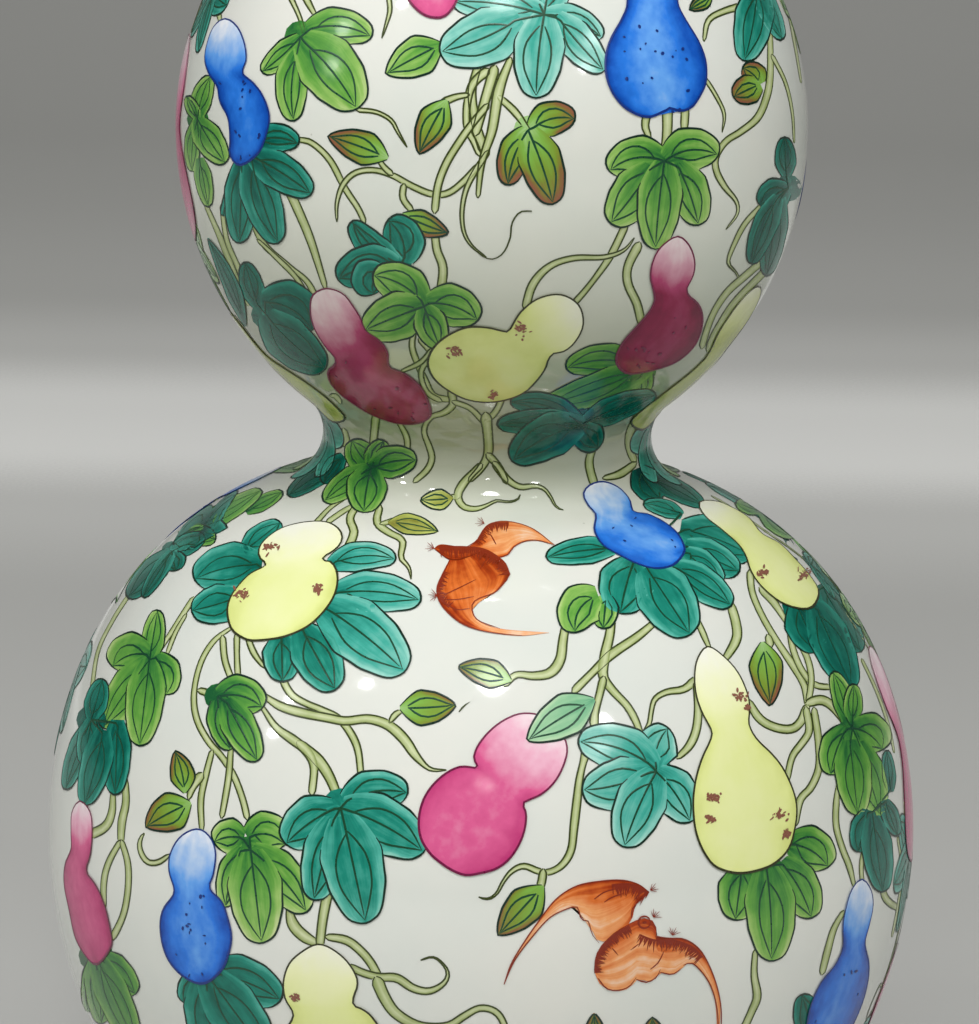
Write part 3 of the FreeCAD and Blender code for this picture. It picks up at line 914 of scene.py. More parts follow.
porcelain = {"ior": 1.5, "coatGloss": 0.04, "least": 0.3, "most": 0.7, "speckRadius": 0.018,
             "speckFade": 0.03, "speckShare": 0.35, "rippleHeight": 0.2}


def porcelainMaterial(name, look):
    # Fired porcelain under a clear feldspar glaze: warm white with a faint grey green cast, glassy, with the
    # slow unevenness of a dipped glaze and a few pinholes.
    material, tree, shader, place = newMaterial(name, {
        "IOR": porcelain["ior"], "Coat Weight": look["coat"], "Coat Roughness": porcelain["coatGloss"]})
    cloud = addNode(tree, "ShaderNodeTexNoise", {
        "Vector": place, "Scale": 1 / (look["cloud"] * mm), "Detail": 3.0}).outputs["Fac"]
    tint = addNode(tree, "ShaderNodeValToRGB", {"Fac": cloud}, [
        (porcelain["least"], look["cool"]), (porcelain["most"], look["warm"])])
    speck = addNode(tree, "ShaderNodeTexVoronoi", {"Vector": place, "Scale": 1 / (look["speck"] * mm)})
    share = addNode(tree, "ShaderNodeMapRange", {
        "Value": speck.outputs["Distance"], "From Min": porcelain["speckRadius"],
        "From Max": porcelain["speckFade"], "To Min": porcelain["speckShare"], "To Max": 0.0})
    mix = addNode(tree, "ShaderNodeMix", data_type="RGBA")
    tree.links.new(share.outputs[0], mix.inputs[0])
    tree.links.new(tint.outputs["Color"], mix.inputs[6])
    mix.inputs[7].default_value = fromHex(look["speckColour"])
    # the glaze's colour gets the full painted shade about the waist and under the upper bulb
    tree.links.new(paintShadeAboutWaist(tree, place, mix.outputs[2]), shader.inputs["Base Color"])
    gloss = addNode(tree, "ShaderNodeMapRange", {
        "Value": cloud, "To Min": look["roughness"] * 0.7, "To Max": look["roughness"] * 1.3})
    tree.links.new(gloss.outputs[0], shader.inputs["Roughness"])
    ripple = addNode(tree, "ShaderNodeTexNoise", {
        "Vector": place, "Scale": 1 / (look["ripple"] * mm), "Detail": 1.0})
    bump = addNode(tree, "ShaderNodeBump", {
        "Height": ripple.outputs["Fac"], "Strength": look["bump"],
        "Distance": porcelain["rippleHeight"] * mm})
    tree.links.new(bump.outputs["Normal"], shader.inputs["Normal"])
    return material


outsideGlaze = porcelainMaterial("clearGlazeOverPorcelain", {
    "warm": "#E5E5DC", "cool": "#DCE0D8", "cloud": 28.0, "speck": 9.0, "speckColour": "#8C8672",
    "roughness": 0.07, "coat": 0.4, "ripple": 9.0, "bump": 0.10})
insideGlaze = porcelainMaterial("clearGlazeInside", {
    "warm": "#DEDDD3", "cool": "#D3D7D0", "cloud": 24.0, "speck": 7.0, "speckColour": "#8C8672",
    "roughness": 0.12, "coat": 0.2, "ripple": 7.0, "bump": 0.2})


def biscuitMaterial(name, look):
    # Bare fired clay, turned on the wheel: matt, fine grained, with an orange flash at the glaze's edge.
    material, tree, shader, place = newMaterial(name, {"IOR": 1.45})
    grain = addNode(tree, "ShaderNodeTexNoise", {
        "Vector": place, "Scale": 1 / (look["grain"] * mm), "Detail": 6.0, "Roughness": 0.7}).outputs["Fac"]
    tint = addNode(tree, "ShaderNodeValToRGB", {"Fac": grain}, [(0.3, look["dark"]), (0.7, look["light"])])
    spot = addNode(tree, "ShaderNodeSeparateXYZ", {0: place})
    edge = vase["bareHeight"]
    flash = addNode(tree, "ShaderNodeMapRange", {
        "Value": spot.outputs["Z"], "From Min": (edge - look["flashWidth"]) * mm, "From Max": edge * mm,
        "To Min": 0.0, "To Max": look["flashShare"]})
    mix = addNode(tree, "ShaderNodeMix", data_type="RGBA")
    tree.links.new(flash.outputs[0], mix.inputs[0])
    tree.links.new(tint.outputs["Color"], mix.inputs[6])
    mix.inputs[7].default_value = fromHex(look["flash"])
    tree.links.new(mix.outputs[2], shader.inputs["Base Color"])
    gloss = addNode(tree, "ShaderNodeMapRange", {
        "Value": grain, "To Min": look["smooth"], "To Max": look["rough"]})
    tree.links.new(gloss.outputs[0], shader.inputs["Roughness"])
    bump = addNode(tree, "ShaderNodeBump", {
        "Height": grain, "Strength": look["bump"], "Distance": look["bumpHeight"] * mm})
    tree.links.new(bump.outputs["Normal"], shader.inputs["Normal"])
    return material


biscuit = biscuitMaterial("turnedPorcelainBiscuit", {
    "light": "#E2D8C4", "dark": "#CFC0A6", "flash": "#C79468", "flashShare": 0.8, "flashWidth": 1.2,
    "grain": 0.7, "smooth": 0.7, "rough": 0.95, "bump": 0.35, "bumpHeight": 0.1})
cadFinishes = {"inner_glaze": insideGlaze, "base_glaze": insideGlaze}
for nodeName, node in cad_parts.items():
    node.data.materials.clear()
    node.data.materials.append(cadFinishes.get(nodeName, biscuit))

# how finely the glaze is spun: steps round, rows up each arc, and the share of them that crowd at its ends
spinLook = {"steps": 192, "spacing": 1.6, "finest": 0.05, "density": 1.3, "crowding": 0.5, "insideEvery": 3,
            "lipSteps": 9, "weld": 0.004, "sharp": 50.0}


def makeGlaze(v, look):
    # The outside glaze, spun once round from its half section, so that its reflections run smoothly.
    heights = [v["bareHeight"], v["footTop"]]
    for _, _, size, _, low, high in arcs:
        count = max(6, int(look["density"] * (high - low) / min(look["spacing"], look["finest"] * size)))
        heights += list(low + (high - low) * crowded(count, look["crowding"]))[1:]
    heights = np.array(heights + [v["lipHeight"]])
    radius, outward, upward = wallAt(np.clip(heights, 0, v["lipHeight"] - 1e-6))
    outside = np.stack([radius, heights], -1)
    inside = np.stack([radius - outward * v["glaze"], heights - upward * v["glaze"]], -1)
    inside = inside[::look["insideEvery"]]
    turn = np.linspace(0, math.pi / 2, look["lipSteps"])[1:]
    lipRadius = v["wall"] / 2
    lipCentre = v["neckRadius"] - lipRadius
    lips = [np.stack([lipCentre + reach * np.cos(turn), v["lipHeight"] + reach * np.sin(turn)], -1)
            for reach in (lipRadius + v["glaze"], lipRadius)]
    section = np.vstack([outside, lips[0], lips[1][::-1], inside[::-1]])
    mesh = bpy.data.meshes.new("glazed_wall")
    rim = [(x * mm, 0.0, z * mm) for x, z in section]
    mesh.from_pydata(rim, [(i, (i + 1) % len(rim)) for i in range(len(rim))], [])
    glaze = bpy.data.objects.new("glazed_wall", mesh)
    bpy.context.scene.collection.objects.link(glaze)
    bpy.ops.object.select_all(action="DESELECT")
    glaze.select_set(True)
    bpy.context.view_layer.objects.active = glaze
    bpy.ops.object.mode_set(mode="EDIT")
    bpy.ops.mesh.select_all(action="SELECT")
    bpy.ops.mesh.spin(steps=look["steps"], angle=2 * math.pi, center=(0, 0, 0), axis=(0, 0, 1))
    bpy.ops.mesh.select_all(action="SELECT")
    bpy.ops.mesh.remove_doubles(threshold=look["weld"] * mm)
    bpy.ops.mesh.normals_make_consistent(inside=False)
    bpy.ops.object.mode_set(mode="OBJECT")
    bpy.ops.object.shade_smooth_by_angle(angle=math.radians(look["sharp"]))
    glaze.data.materials.append(outsideGlaze)
    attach(glaze, "root")
    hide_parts("outer_glaze")
    return glaze


glazedWall = makeGlaze(vase, spinLook)
print("glaze spun:", len(glazedWall.data.polygons), "faces")


# the painting: gourds, vines and bats, first the front as the photo shows it

upperLeft = {
    "stems": [
        ([(213, -24), (216, -8), (218, 6), (220, 20)], 3, 4, 4.5),
        ([(285, -14), (292, 0), (300, 18), (305, 36)], 6, 4, 3),
        ([(300, -14), (308, 2), (318, 20)], 7, 6, 3),
        ([(387, -12), (390, 8), (387, 22), (382, 38)], 5, 4, 0.8),
        ([(300, 140), (312, 143), (330, 160), (345, 188), (358, 208), (364, 221)], 5, 6, 5),
        ([(337, 221), (337, 203), (343, 185), (355, 173), (373, 170), (392, 175), (412, 186), (432, 194),
          (448, 193), (463, 182), (478, 166)], 1.5, 5, 5, 6, 6, 6),
        ([(377, 157), (385, 168), (391, 173)], 4, 6),
        ([(486, 72), (473, 84), (467, 105), (467, 128), (474, 142), (479, 154)], 9, 7, 6, 5),
        ([(487, 106), (472, 124), (458, 144), (446, 164), (438, 186), (435, 210)], 6, 7, 7, 7),
        ([(488, 152), (476, 170), (466, 190), (462, 212), (464, 232), (472, 246), (486, 257)], 5, 5, 4, 3,
          1),
        ([(404, 186), (403, 198), (411, 209)], 6, 6),
        ([(435, 234), (437, 250), (443, 268), (441, 290)], 7, 8, 9),
        ([(289, 190), (300, 214), (312, 244), (325, 286)], 9, 8, 5),
        ([(252, 218), (264, 244), (288, 265), (306, 280), (314, 293)], 6, 6, 4, 6),
        ([(258, 240), (275, 256), (295, 276), (308, 296)], 3, 5, 4),
        ([(206, 205), (218, 232), (230, 262), (243, 296)], 4, 6, 5),
        ([(222, 206), (227, 240), (240, 272), (248, 304)], 4, 5, 4),
        ([(444, 102), (456, 97), (468, 95)], 8, 4),
        ([(358, 110), (376, 112), (391, 120), (398, 132), (407, 147)], 4, 3.5, 3, 0.8),
        ([(415, 328), (412, 345), (417, 362), (426, 382), (434, 396), (448, 399)], 5, 6, 6, 6),
        ([(420, 340), (430, 354), (421, 372), (427, 392), (440, 400)], 5, 5, 5, 5),
        ([(431, 349), (421, 362), (402, 371)], 3, 5, 3),
        ([(451, 392), (453, 404), (443, 413), (431, 417), (424, 430), (429, 446), (432, 458), (427, 470),
          (415, 481)], 8, 7, 5, 5, 6, 6, 5),
        ([(454, 402), (470, 408), (482, 420), (488, 426)], 5, 5, 6),
        ([(502, 398), (496, 411), (487, 420)], 6, 6, 6),
        ([(486, 418), (488, 436), (488, 454), (481, 468), (470, 480)], 12, 9, 9, 7, 5),
        ([(489, 456), (499, 467), (506, 482)], 8, 6, 5),
        ([(376, 416), (374, 436), (371, 470)], 8, 7, 5),
        ([(399, 422), (407, 438), (407, 454)], 4, 6, 5),
        ([(340, 402), (336, 396), (331, 396)], 5, 5, 4),
        ([(344, 432), (347, 445)], 8, 8),
    ],
    "leaves": {
        "leafBehindBlue": leafOf("green", (198, 119), 0.85, 0.4, ((211, 76), 22, -0.1), ((187, 96), 14),
            ((193, 172), 17, 0.1), ((200, 158), (209, 207), 18), ((226, 163), 30, 0.05)),
        "tealUnderBlue": leafOf("teal", (252, 156), 0.8, 0.6, ((240, 160), (223, 216), 18, -0.12),
            ((256, 142), (299, 144), 30, -0.25), ((243, 160), (240, 243), 34),
            ((252, 158), (279, 243), 40, 0.06), ((312, 194), 38, -0.06)),
        "greenBeside": leafOf("green", (301, 37), 0.8, 0.38, ((262, 72), 26, -0.06),
            ((298, 52), (294, 121), 34, 0.12), ((308, 30), (372, 37), 38, -0.22),
            ((302, 40), (357, 109), 62, -0.1)),
        "smallLeaf": leafOf("green", None, 0.7, 0.3, ((442, 44), (386, 74), 46, 0.02)),
        "brownTipped": leafOf("autumn", None, 0.9, 0.1, ((388, 158), (328, 136), 38, 0.04)),
        "bud": leafOf("autumn", None, 0.9, 0.1, ((447, 100), (419, 154), 38, 0.04)),
        "roundLeaf": leafOf("autumn", None, 0.85, 0.1, ((402, 214), (449, 233), 29, 0.05)),
        "tealSmall": leafOf("teal", (400, 264), 0.62, 0.7, ((404, 262), (388, 220), 44, 0.3),
            ((352, 221), 30, -0.16), ((398, 266), (338, 279), 46, 0.18),
            ((384, 272), (374, 294), 48, 0.5)),
        "greenWide": leafOf("green", (424, 306), 0.82, 0.42, ((424, 303), (373, 275), 44, 0.2),
            ((364, 330), 50, 0.02), ((427, 303), (478, 320), 44, -0.22), ((440, 347), 34)),
        "tealDarkLeft": leafOf("teal", (266, 314), 0.75, 0.85, ((258, 306), (245, 262), 24),
            ((262, 302), (312, 330), 54, -0.3), ((326, 368), 46, 0.1)),
        "tealLimb": leafOf("teal", None, 0.8, 0.7, ((246, 326), (208, 238), 18, 0.06)),
    },
    "gourds": {
        "pinkTop": gourdOf("pink", [(425, -110), (408, -98), (402, -80), (406, -62), (412, -50),
            (404, -34), (402, -16), (410, 2), (424, 15), (440, 18)], [(442, -100), (448, -82), (444, -64),
            (440, -52), (452, -38), (460, -20), (458, -2), (450, 12)], seed=2, heartWash=0.5,
            rimWash=0.8),
        "blueGourd": gourdOf("blue", [(226, 19), (214, 28), (207, 48), (206, 62), (211, 76), (218, 86),
            (221, 102), (229, 118), (231, 140), (231, 155), (241, 165)], [(238, 27), (245, 43), (247, 60),
            (243, 73), (254, 83), (264, 97), (270, 116), (267, 134), (259, 153)], spots=14, seed=3,
            heartWash=0.62),
        "rubyGourd": gourdOf("ruby", [(327, 288), (314, 294), (311, 306), (313, 322), (320, 337),
            (330, 351), (338, 361), (329, 369), (329, 378), (337, 390), (352, 402), (372, 414),
            (395, 422), (415, 423), (428, 418), (431, 411)], [(343, 293), (353, 305), (361, 318),
            (366, 330), (380, 340), (388, 352), (389, 366), (405, 373), (418, 383), (426, 395)], spots=10,
            seed=5, crownEnd=0.42, heartWash=0.6),
        "yellowGourd": gourdOf("yellow", [(578, 304), (560, 294), (538, 298), (521, 311), (512, 325),
            (507, 331), (488, 327), (466, 327), (446, 336), (433, 348), (428, 362)], [(583, 322),
            (577, 338), (565, 350), (550, 354), (547, 364), (538, 378), (522, 393), (495, 401),
            (468, 399), (446, 388), (433, 376)], crownEnd=0.34, heartWash=0.62, rimWash=0.8,
            scars=[(522, 328, 9), (454, 351, 8), (494, 394, 5)], seed=8),
    },
}

upperRight = {
    "stems": [
        ([(742, 6), (722, 12), (708, 21), (704, 40)], 8, 6, 5, 3),
        ([(706, 80), (716, 96), (724, 114), (722, 132)], 4, 3.5, 3, 0.8),
        ([(770, 36), (770, 75), (766, 98), (757, 118), (740, 132), (726, 141), (716, 156), (716, 170),
          (724, 186), (736, 201), (737, 214), (726, 229)], 5, 6, 7, 7, 6, 6, 6, 3, 1),
        ([(772, 56), (785, 82), (792, 112), (794, 142)], 4, 3, 2),
        ([(647, 115), (645, 126), (649, 136)], 8, 7, 5),
        ([(667, 108), (667, 132), (664, 156)], 10, 9, 8),
        ([(685, 110), (684, 128)], 8, 7),
        ([(500, 98), (515, 112), (528, 130)], 6, 7, 4),
        ([(625, 226), (612, 253), (598, 274), (584, 292), (574, 303)], 7, 7, 5, 6),
        ([(634, 238), (624, 250), (604, 257), (574, 258), (550, 266), (533, 284), (526, 306)], 1, 4, 5, 6,
          8, 8),
        ([(638, 246), (628, 266), (628, 284), (637, 304), (641, 322)], 9, 8, 8, 8),
        ([(478, 66), (472, 92), (477, 128), (484, 150)], 7, 8, 10),
        ([(494, 70), (484, 104), (476, 132)], 10, 9, 8),
        ([(510, 60), (499, 90), (492, 130), (482, 162), (478, 196)], 6, 10, 9, 6, 4),
        ([(763, 204), (746, 222), (735, 242), (728, 262), (735, 271), (738, 279), (733, 286)], 5, 5, 5, 4,
          2, 1),
        ([(768, 256), (746, 275), (728, 291), (716, 308), (708, 326), (702, 346)], 7, 7, 6, 6),
        ([(770, 266), (750, 286), (733, 304), (721, 322), (712, 338), (708, 350)], 7, 7, 6, 5),
        ([(595, 444), (589, 462), (594, 484)], 6, 8, 8),
        ([(641, 412), (631, 430), (629, 446), (634, 460)], 9, 8, 7),
        ([(604, 478), (620, 474), (634, 464)], 4, 8, 6),
        ([(776, -14), (788, 12), (794, 40), (801, 82)], 3, 3, 2),
    ],
    "tendrils": [
        [(532, 211), (520, 212), (512, 223), (510, 238), (503, 253), (492, 259), (481, 255), (472, 246)],
    ],
    "leaves": {
        "tealTop": leafOf("tealLight", (544, 15), 0.62, 0.38, ((512, -34), 40, 0.1),
            ((560, -36), 44, -0.1), ((452, 2), 40, 0.1), ((602, 38), 30, -0.2),
            ((556, 16), (604, 71), 38, 0.03), ((520, 18), (440, 52), 58, -0.1), ((536, 98), 52, 0.04)),
        "autumnLeaf": leafOf("autumn", (528, 130), 0.9, 0.1, ((532, 129), (575, 119), 36, -0.26),
            ((508, 185), 34, 0.14), ((553, 204), 44, -0.05)),
        "greenUnderBlue": leafOf("green", (664, 161), 0.85, 0.36, ((609, 171), 44, 0.3),
            ((666, 160), (718, 155), 46, -0.3), ((652, 166), (610, 223), 48, -0.05),
            ((676, 164), (698, 225), 42, -0.08), ((655, 249), 46, 0.02)),
        "tealRightTop": leafOf("teal", (757, -14), 0.75, 0.4, ((782, 40), 22), ((744, 61), 40, -0.06)),
        "budRight": leafOf("autumn", (760, 84), 0.7, 0.1, ((742, 68), 26, 0.2), ((733, 97), 30, 0.02)),
        "budTop": leafOf("autumn", None, 0.7, 0.2, ((712, -4), (689, 10), 18)),
        "tealRightLimb": leafOf("teal", (788, 188), 0.75, 0.85, ((786, 176), (784, 137), 22),
            ((760, 206), 34, 0.1), ((780, 196), (766, 276), 26), ((778, 196), (751, 264), 26, 0.05)),
        "greenUnderRuby": leafOf("green", (640, 366), 0.95, 0.55, ((566, 368), 34, 0.2),
            ((646, 372), (590, 413), 18), ((642, 396), 26), ((650, 366), (540, 406), 34, -0.05)),
        "tealWaist": leafOf("teal", (582, 424), 0.8, 0.8, ((656, 394), 28, -0.06), ((510, 402), 26, 0.2),
            ((598, 448), 34, 0.1), ((497, 424), 28, 0.06), ((512, 461), 46, 0.14)),
    },
    "gourds": {
        "blueGourd": gourdOf("blue", [(651, -54), (636, -47), (626, -30), (625, -12), (627, 5), (620, 22),
            (610, 40), (605, 60), (607, 80), (615, 97), (628, 110), (647, 117), (664, 111), (669, 108)],
            [(666, -47), (677, -30), (678, -12), (677, 4), (686, 22), (698, 42), (705, 62), (705, 82),
            (699, 96), (691, 107), (680, 111), (673, 109)], spots=18, seed=4, crownEnd=0.3,
            heartWash=0.46),
        "rubyGourd": gourdOf("ruby", [(677, 236), (660, 247), (652, 262), (650, 277), (653, 290),
            (654, 300), (648, 312), (636, 326), (623, 341), (616, 355), (618, 366), (632, 373)],
            [(689, 246), (694, 262), (692, 276), (686, 288), (688, 295), (698, 304), (702, 318),
            (699, 335), (690, 350), (670, 364)], spots=14, seed=6, crownEnd=0.4, heartWash=0.72),
    },
}

# what hangs at the edge of the outline is sketched flat, and laid on the wall there
hipGourd = {"gourds": {
    "gourd": gourdSketch("yellow", 0, 0, 192, 3, 0.02, crownEnd=0.3, heartWash=0.9, rimWash=1.0)}}
hipGourdLeft = {"gourds": {
    "gourd": gourdSketch("yellow", 0, 0, 150, 38, -0.02, crownEnd=0.3, heartWash=0.9)}}
waistLeaf = {"leaves": {"leaf": leafSketch("teal", 0, 0, 84, 10, 5, 44, veins=0)}}

paintRegion("upperLeft", front, upperLeft)
paintRegion("upperRight", front, upperRight)
paintRegion("hipGourd", beside(65, 199), hipGourd)
paintRegion("hipGourdLeft", beside(-82, 189), hipGourdLeft)
paintRegion("waistLeafRight", beside(80, 169.5), waistLeaf)
paintRegion("waistLeafLeft", beside(-80, 169.5, mirror=True), waistLeaf)

waist = {
    "stems": [
        ([(344, 499), (330, 508), (316, 523)], 3, 4, 5),
        ([(360, 502), (344, 511), (328, 522)], 3, 5, 5),
        ([(358, 505), (350, 518), (354, 533), (347, 549)], 6, 7, 8, 7),
        ([(380, 508), (377, 522), (388, 532), (402, 540), (402, 550), (401, 558), (409, 568), (411, 579)],
          6, 7, 7, 6, 6, 5, 3, 0.8),
        ([(381, 524), (390, 522), (400, 520)], 3, 6, 8),
        ([(480, 466), (468, 478), (460, 489), (458, 498), (464, 507), (476, 509), (488, 505), (496, 501),
          (508, 502), (517, 500), (520, 495)], 7, 6, 8, 8, 6, 5, 3, 2, 1.5, 0.8),
        ([(495, 464), (507, 479), (520, 487), (534, 486), (544, 489), (551, 498), (556, 507), (563, 510)],
          7, 7, 6, 5, 3, 2, 0.8),
        ([(446, 497), (457, 497)], 4, 6),
    ],
    "leaves": {
        "tealBehind": leafOf("teal", (344, 456), 0.75, 0.95, ((338, 464), (288, 496), 22, 0.04),
            ((324, 484), 20, 0.1)),
        "darkGreen": leafOf("green", (372, 468), 1.0, 0.5, ((352, 440), 32, -0.1), ((384, 440), 26),
            ((417, 460), 34, -0.12), ((324, 502), 28, 0.05), ((364, 513), 42, 0.06)),
        "budOne": leafOf("bud", None, 0.7, 0.3, ((453, 498), (420, 500), 24, -0.06)),
        "budTwo": leafOf("bud", None, 0.8, 0.5, ((388, 523), (438, 532), 24, -0.1)),
    },
}

lowerLeft = {
    "stems": [
        ([(231, 628), (215, 640), (203, 658), (196, 680), (194, 702), (198, 722), (209, 742), (222, 757),
          (234, 776), (243, 800), (247, 817)], 3, 5, 5, 5, 6, 6, 6, 6, 6, 6),
        ([(223, 638), (225, 660), (232, 680)], 6, 6, 6),
        ([(237, 636), (237, 655), (238, 675)], 6, 5, 6),
        ([(248, 638), (254, 653), (264, 667)], 5, 6, 3),
        ([(193, 599), (177, 624), (163, 645), (152, 660)], 5, 5, 4, 6),
        ([(186, 615), (176, 632), (168, 652)], 3, 4, 4),
        ([(283, 680), (291, 694), (305, 703), (322, 710), (338, 718), (350, 732), (358, 750), (361, 776)],
          7, 7, 6, 6, 7, 7, 6, 6),
        ([(262, 694), (280, 706), (303, 713), (328, 718), (346, 721), (368, 719), (388, 725), (404, 739),
          (416, 756), (430, 769), (446, 770)], 4, 8, 9, 8, 8, 8, 9, 10, 9, 4, 0.8),
        ([(263, 708), (276, 727), (292, 739), (306, 750), (314, 766), (312, 792)], 4, 6, 9, 9, 7, 7),
        ([(300, 744), (318, 760), (331, 780), (341, 807)], 8, 11, 9, 7),
        ([(200, 691), (209, 694), (215, 703)], 6, 7, 8),
        ([(390, 722), (396, 714), (402, 711)], 3, 6, 3),
        ([(212, 752), (206, 775), (201, 800), (202, 828)], 5, 6, 6, 5),
        ([(231, 748), (229, 775), (225, 800), (222, 816)], 5, 6, 6, 5),
        ([(289, 909), (293, 924), (304, 936), (318, 944)], 5, 11, 11, 6),
        ([(328, 892), (323, 918), (320, 944)], 10, 9, 8),
        ([(328, 937), (346, 940), (360, 950), (371, 963), (379, 978)], 6, 8, 8, 8, 8),
        ([(351, 967), (364, 973), (380, 977), (397, 978), (413, 988), (429, 991), (443, 984), (448, 974),
          (443, 964), (433, 957), (421, 960)], 7, 7, 7, 8, 8, 7, 6, 4, 2, 1.2, 0.8),
        ([(378, 982), (385, 998), (397, 1014), (420, 1026), (447, 1026), (464, 1016), (480, 1008),
          (496, 1012), (505, 1027), (509, 1050)], 12, 11, 10, 9, 8, 7, 6, 6, 6, 6),
        ([(113, 794), (112, 812), (105, 827), (91, 834)], 5, 7, 9, 10),
        ([(125, 780), (126, 802), (122, 822), (121, 842)], 6, 7, 8, 6),
        ([(120, 842), (109, 862), (104, 882), (104, 906)], 5, 6, 6, 5),
        ([(122, 842), (128, 864), (128, 890), (123, 916), (113, 937)], 5, 6, 6, 6, 7),
        ([(200, 777), (193, 787), (189, 798)], 10, 7, 4),
        ([(169, 855), (159, 862), (148, 862), (141, 852), (140, 841), (144, 834)], 3, 5, 5, 5, 4, 2),
        ([(127, 598), (112, 622), (98, 652), (92, 690)], 4, 3.5, 3.5, 4),
    ],
    "leaves": {
        "limbGreen": leafOf("green", (190, 532), 0.95, 0.55, ((246, 512), (283, 492), 16),
            ((262, 490), 22, 0.02), ((216, 540), 22)),
        "limbTeal": leafOf("teal", (172, 552), 0.7, 0.85, ((205, 536), 22), ((176, 571), 26),
            ((128, 598), 26), ((143, 598), 16)),
        "tealRound": leafOf("teal", (290, 590), 0.72, 0.5, ((244, 552), (281, 523), 28),
            ((262, 566), (195, 580), 50, 0.14), ((240, 597), (192, 611), 40, -0.05),
            ((282, 636), (283, 682), 40), ((302, 628), (336, 690), 50, 0.02)),
        "tealPale": leafOf("tealLight", (328, 598), 0.85, 0.5, ((330, 566), (396, 560), 30, -0.2),
            ((334, 594), (421, 601), 42, -0.12), ((322, 606), (405, 672), 64, -0.06)),
        "greenSmall": leafOf("green", (218, 697), 1.0, 0.5, ((263, 708), 42, -0.28),
            ((218, 700), (231, 750), 30, 0.05), ((226, 700), (258, 761), 36)),
        "greenFive": leafOf("green", (150, 660), 0.9, 0.42, ((158, 610), 24),
            ((149, 655), (113, 667), 46, 0.3), ((156, 656), (167, 695), 36, -0.15),
            ((103, 728), 38, 0.03), ((140, 746), 40)),
        "tealLeftLimb": leafOf("teal", (92, 720), 0.8, 0.65, ((103, 679), 24), ((66, 790), 22, 0.04),
            ((84, 765), 22), ((118, 720), (116, 795), 30), ((104, 730), (85, 805), 32, -0.04)),
        "budGreen": leafOf("autumn", None, 0.85, 0.25, ((400, 708), (456, 705), 40, 0.04)),
        "brownUp": leafOf("autumn", None, 0.8, 0.15, ((185, 793), (175, 751), 28, 0.1)),
        "brownLow": leafOf("autumn", None, 0.85, 0.15, ((191, 803), (146, 827), 44, 0.05)),
        "greenLong": leafOf("green", (251, 850), 0.85, 0.32, ((248, 838), (285, 845), 46, -0.4),
            ((244, 838), (214, 842), 38, 0.2), ((243, 848), (226, 907), 30, 0.1), ((307, 912), 46, -0.1),
            ((262, 943), 56)),
        "tealFive": leafOf("teal", (341, 808), 0.6, 0.42, ((345, 802), (408, 793), 44, -0.2),
            ((336, 808), (286, 844), 52, 0.1), ((424, 852), 58, -0.1), ((334, 818), (314, 900), 46),
            ((343, 816), (366, 923), 64)),
        "greenLimbLow": leafOf("green", (96, 955), 0.95, 0.6, ((88, 1012), 22), ((136, 994), 34, -0.05),
            ((102, 1024), 28), ((138, 1050), 34)),
        "tealLow": leafOf("teal", (206, 972), 0.8, 0.55, ((183, 1002), 34), ((281, 1000), 50, -0.12),
            ((213, 1060), 50), ((272, 1062), 54)),
    },
    "gourds": {
        "yellowGourd": gourdOf("yellow", [(305, 523), (282, 529), (265, 541), (259, 552), (262, 561),
            (267, 566), (250, 575), (234, 593), (228, 610), (232, 629), (243, 638), (255, 641)],
            [(327, 523), (340, 531), (342, 542), (333, 552), (321, 560), (333, 564), (338, 580),
            (332, 601), (312, 624), (285, 637)], scars=[(270, 547, 8), (243, 596, 9), (318, 590, 6)],
            seed=11, crownEnd=0.5, heartWash=0.5, rimWash=0.8),
        "blueGourd": gourdOf("blue", [(197, 829), (181, 837), (171, 854), (170, 872), (175, 892),
            (164, 909), (161, 926), (164, 947), (172, 964), (187, 978), (205, 983)], [(209, 835),
            (216, 851), (214, 874), (210, 888), (222, 901), (228, 917), (232, 936), (229, 954),
            (222, 970)], spots=16, seed=12, crownEnd=0.42, heartWash=0.46),
        "pinkLimb": gourdOf("pink", [(81, 801), (73, 812), (72, 832), (72, 849), (66, 864), (65, 884),
            (70, 910), (76, 937), (86, 955), (98, 964)], [(91, 812), (93, 832), (91, 855), (87, 871),
            (96, 884), (105, 904), (111, 929), (112, 946)], crownEnd=0.3, heartWash=0.62, seed=13),
        "yellowLow": gourdOf("yellow", [(318, 944), (303, 951), (290, 963), (284, 981), (286, 999),
            (294, 1015), (284, 1034), (282, 1060), (296, 1086), (326, 1098)], [(333, 949), (349, 963),
            (358, 982), (353, 1003), (368, 1012), (383, 1034), (386, 1062), (366, 1088)],
            scars=[(296, 996, 6)], seed=14, crownEnd=0.4, heartWash=0.55, rimWash=0.8),
        "pinkGourd": gourdOf("pink", [(552, 722), (538, 715), (520, 714), (503, 721), (489, 732),
            (478, 746), (474, 758), (478, 770), (466, 766), (450, 771), (435, 783), (424, 799),
            (419, 819), (421, 838), (430, 853), (440, 862)], [(563, 736), (567, 750), (563, 766),
            (555, 781), (543, 793), (531, 799), (523, 802), (526, 815), (524, 831), (518, 846),
            (508, 860), (495, 869), (480, 873), (466, 875), (452, 870)], seed=15, crownEnd=0.42,
            heartWash=0.5, rimWash=0.78),
    },
}

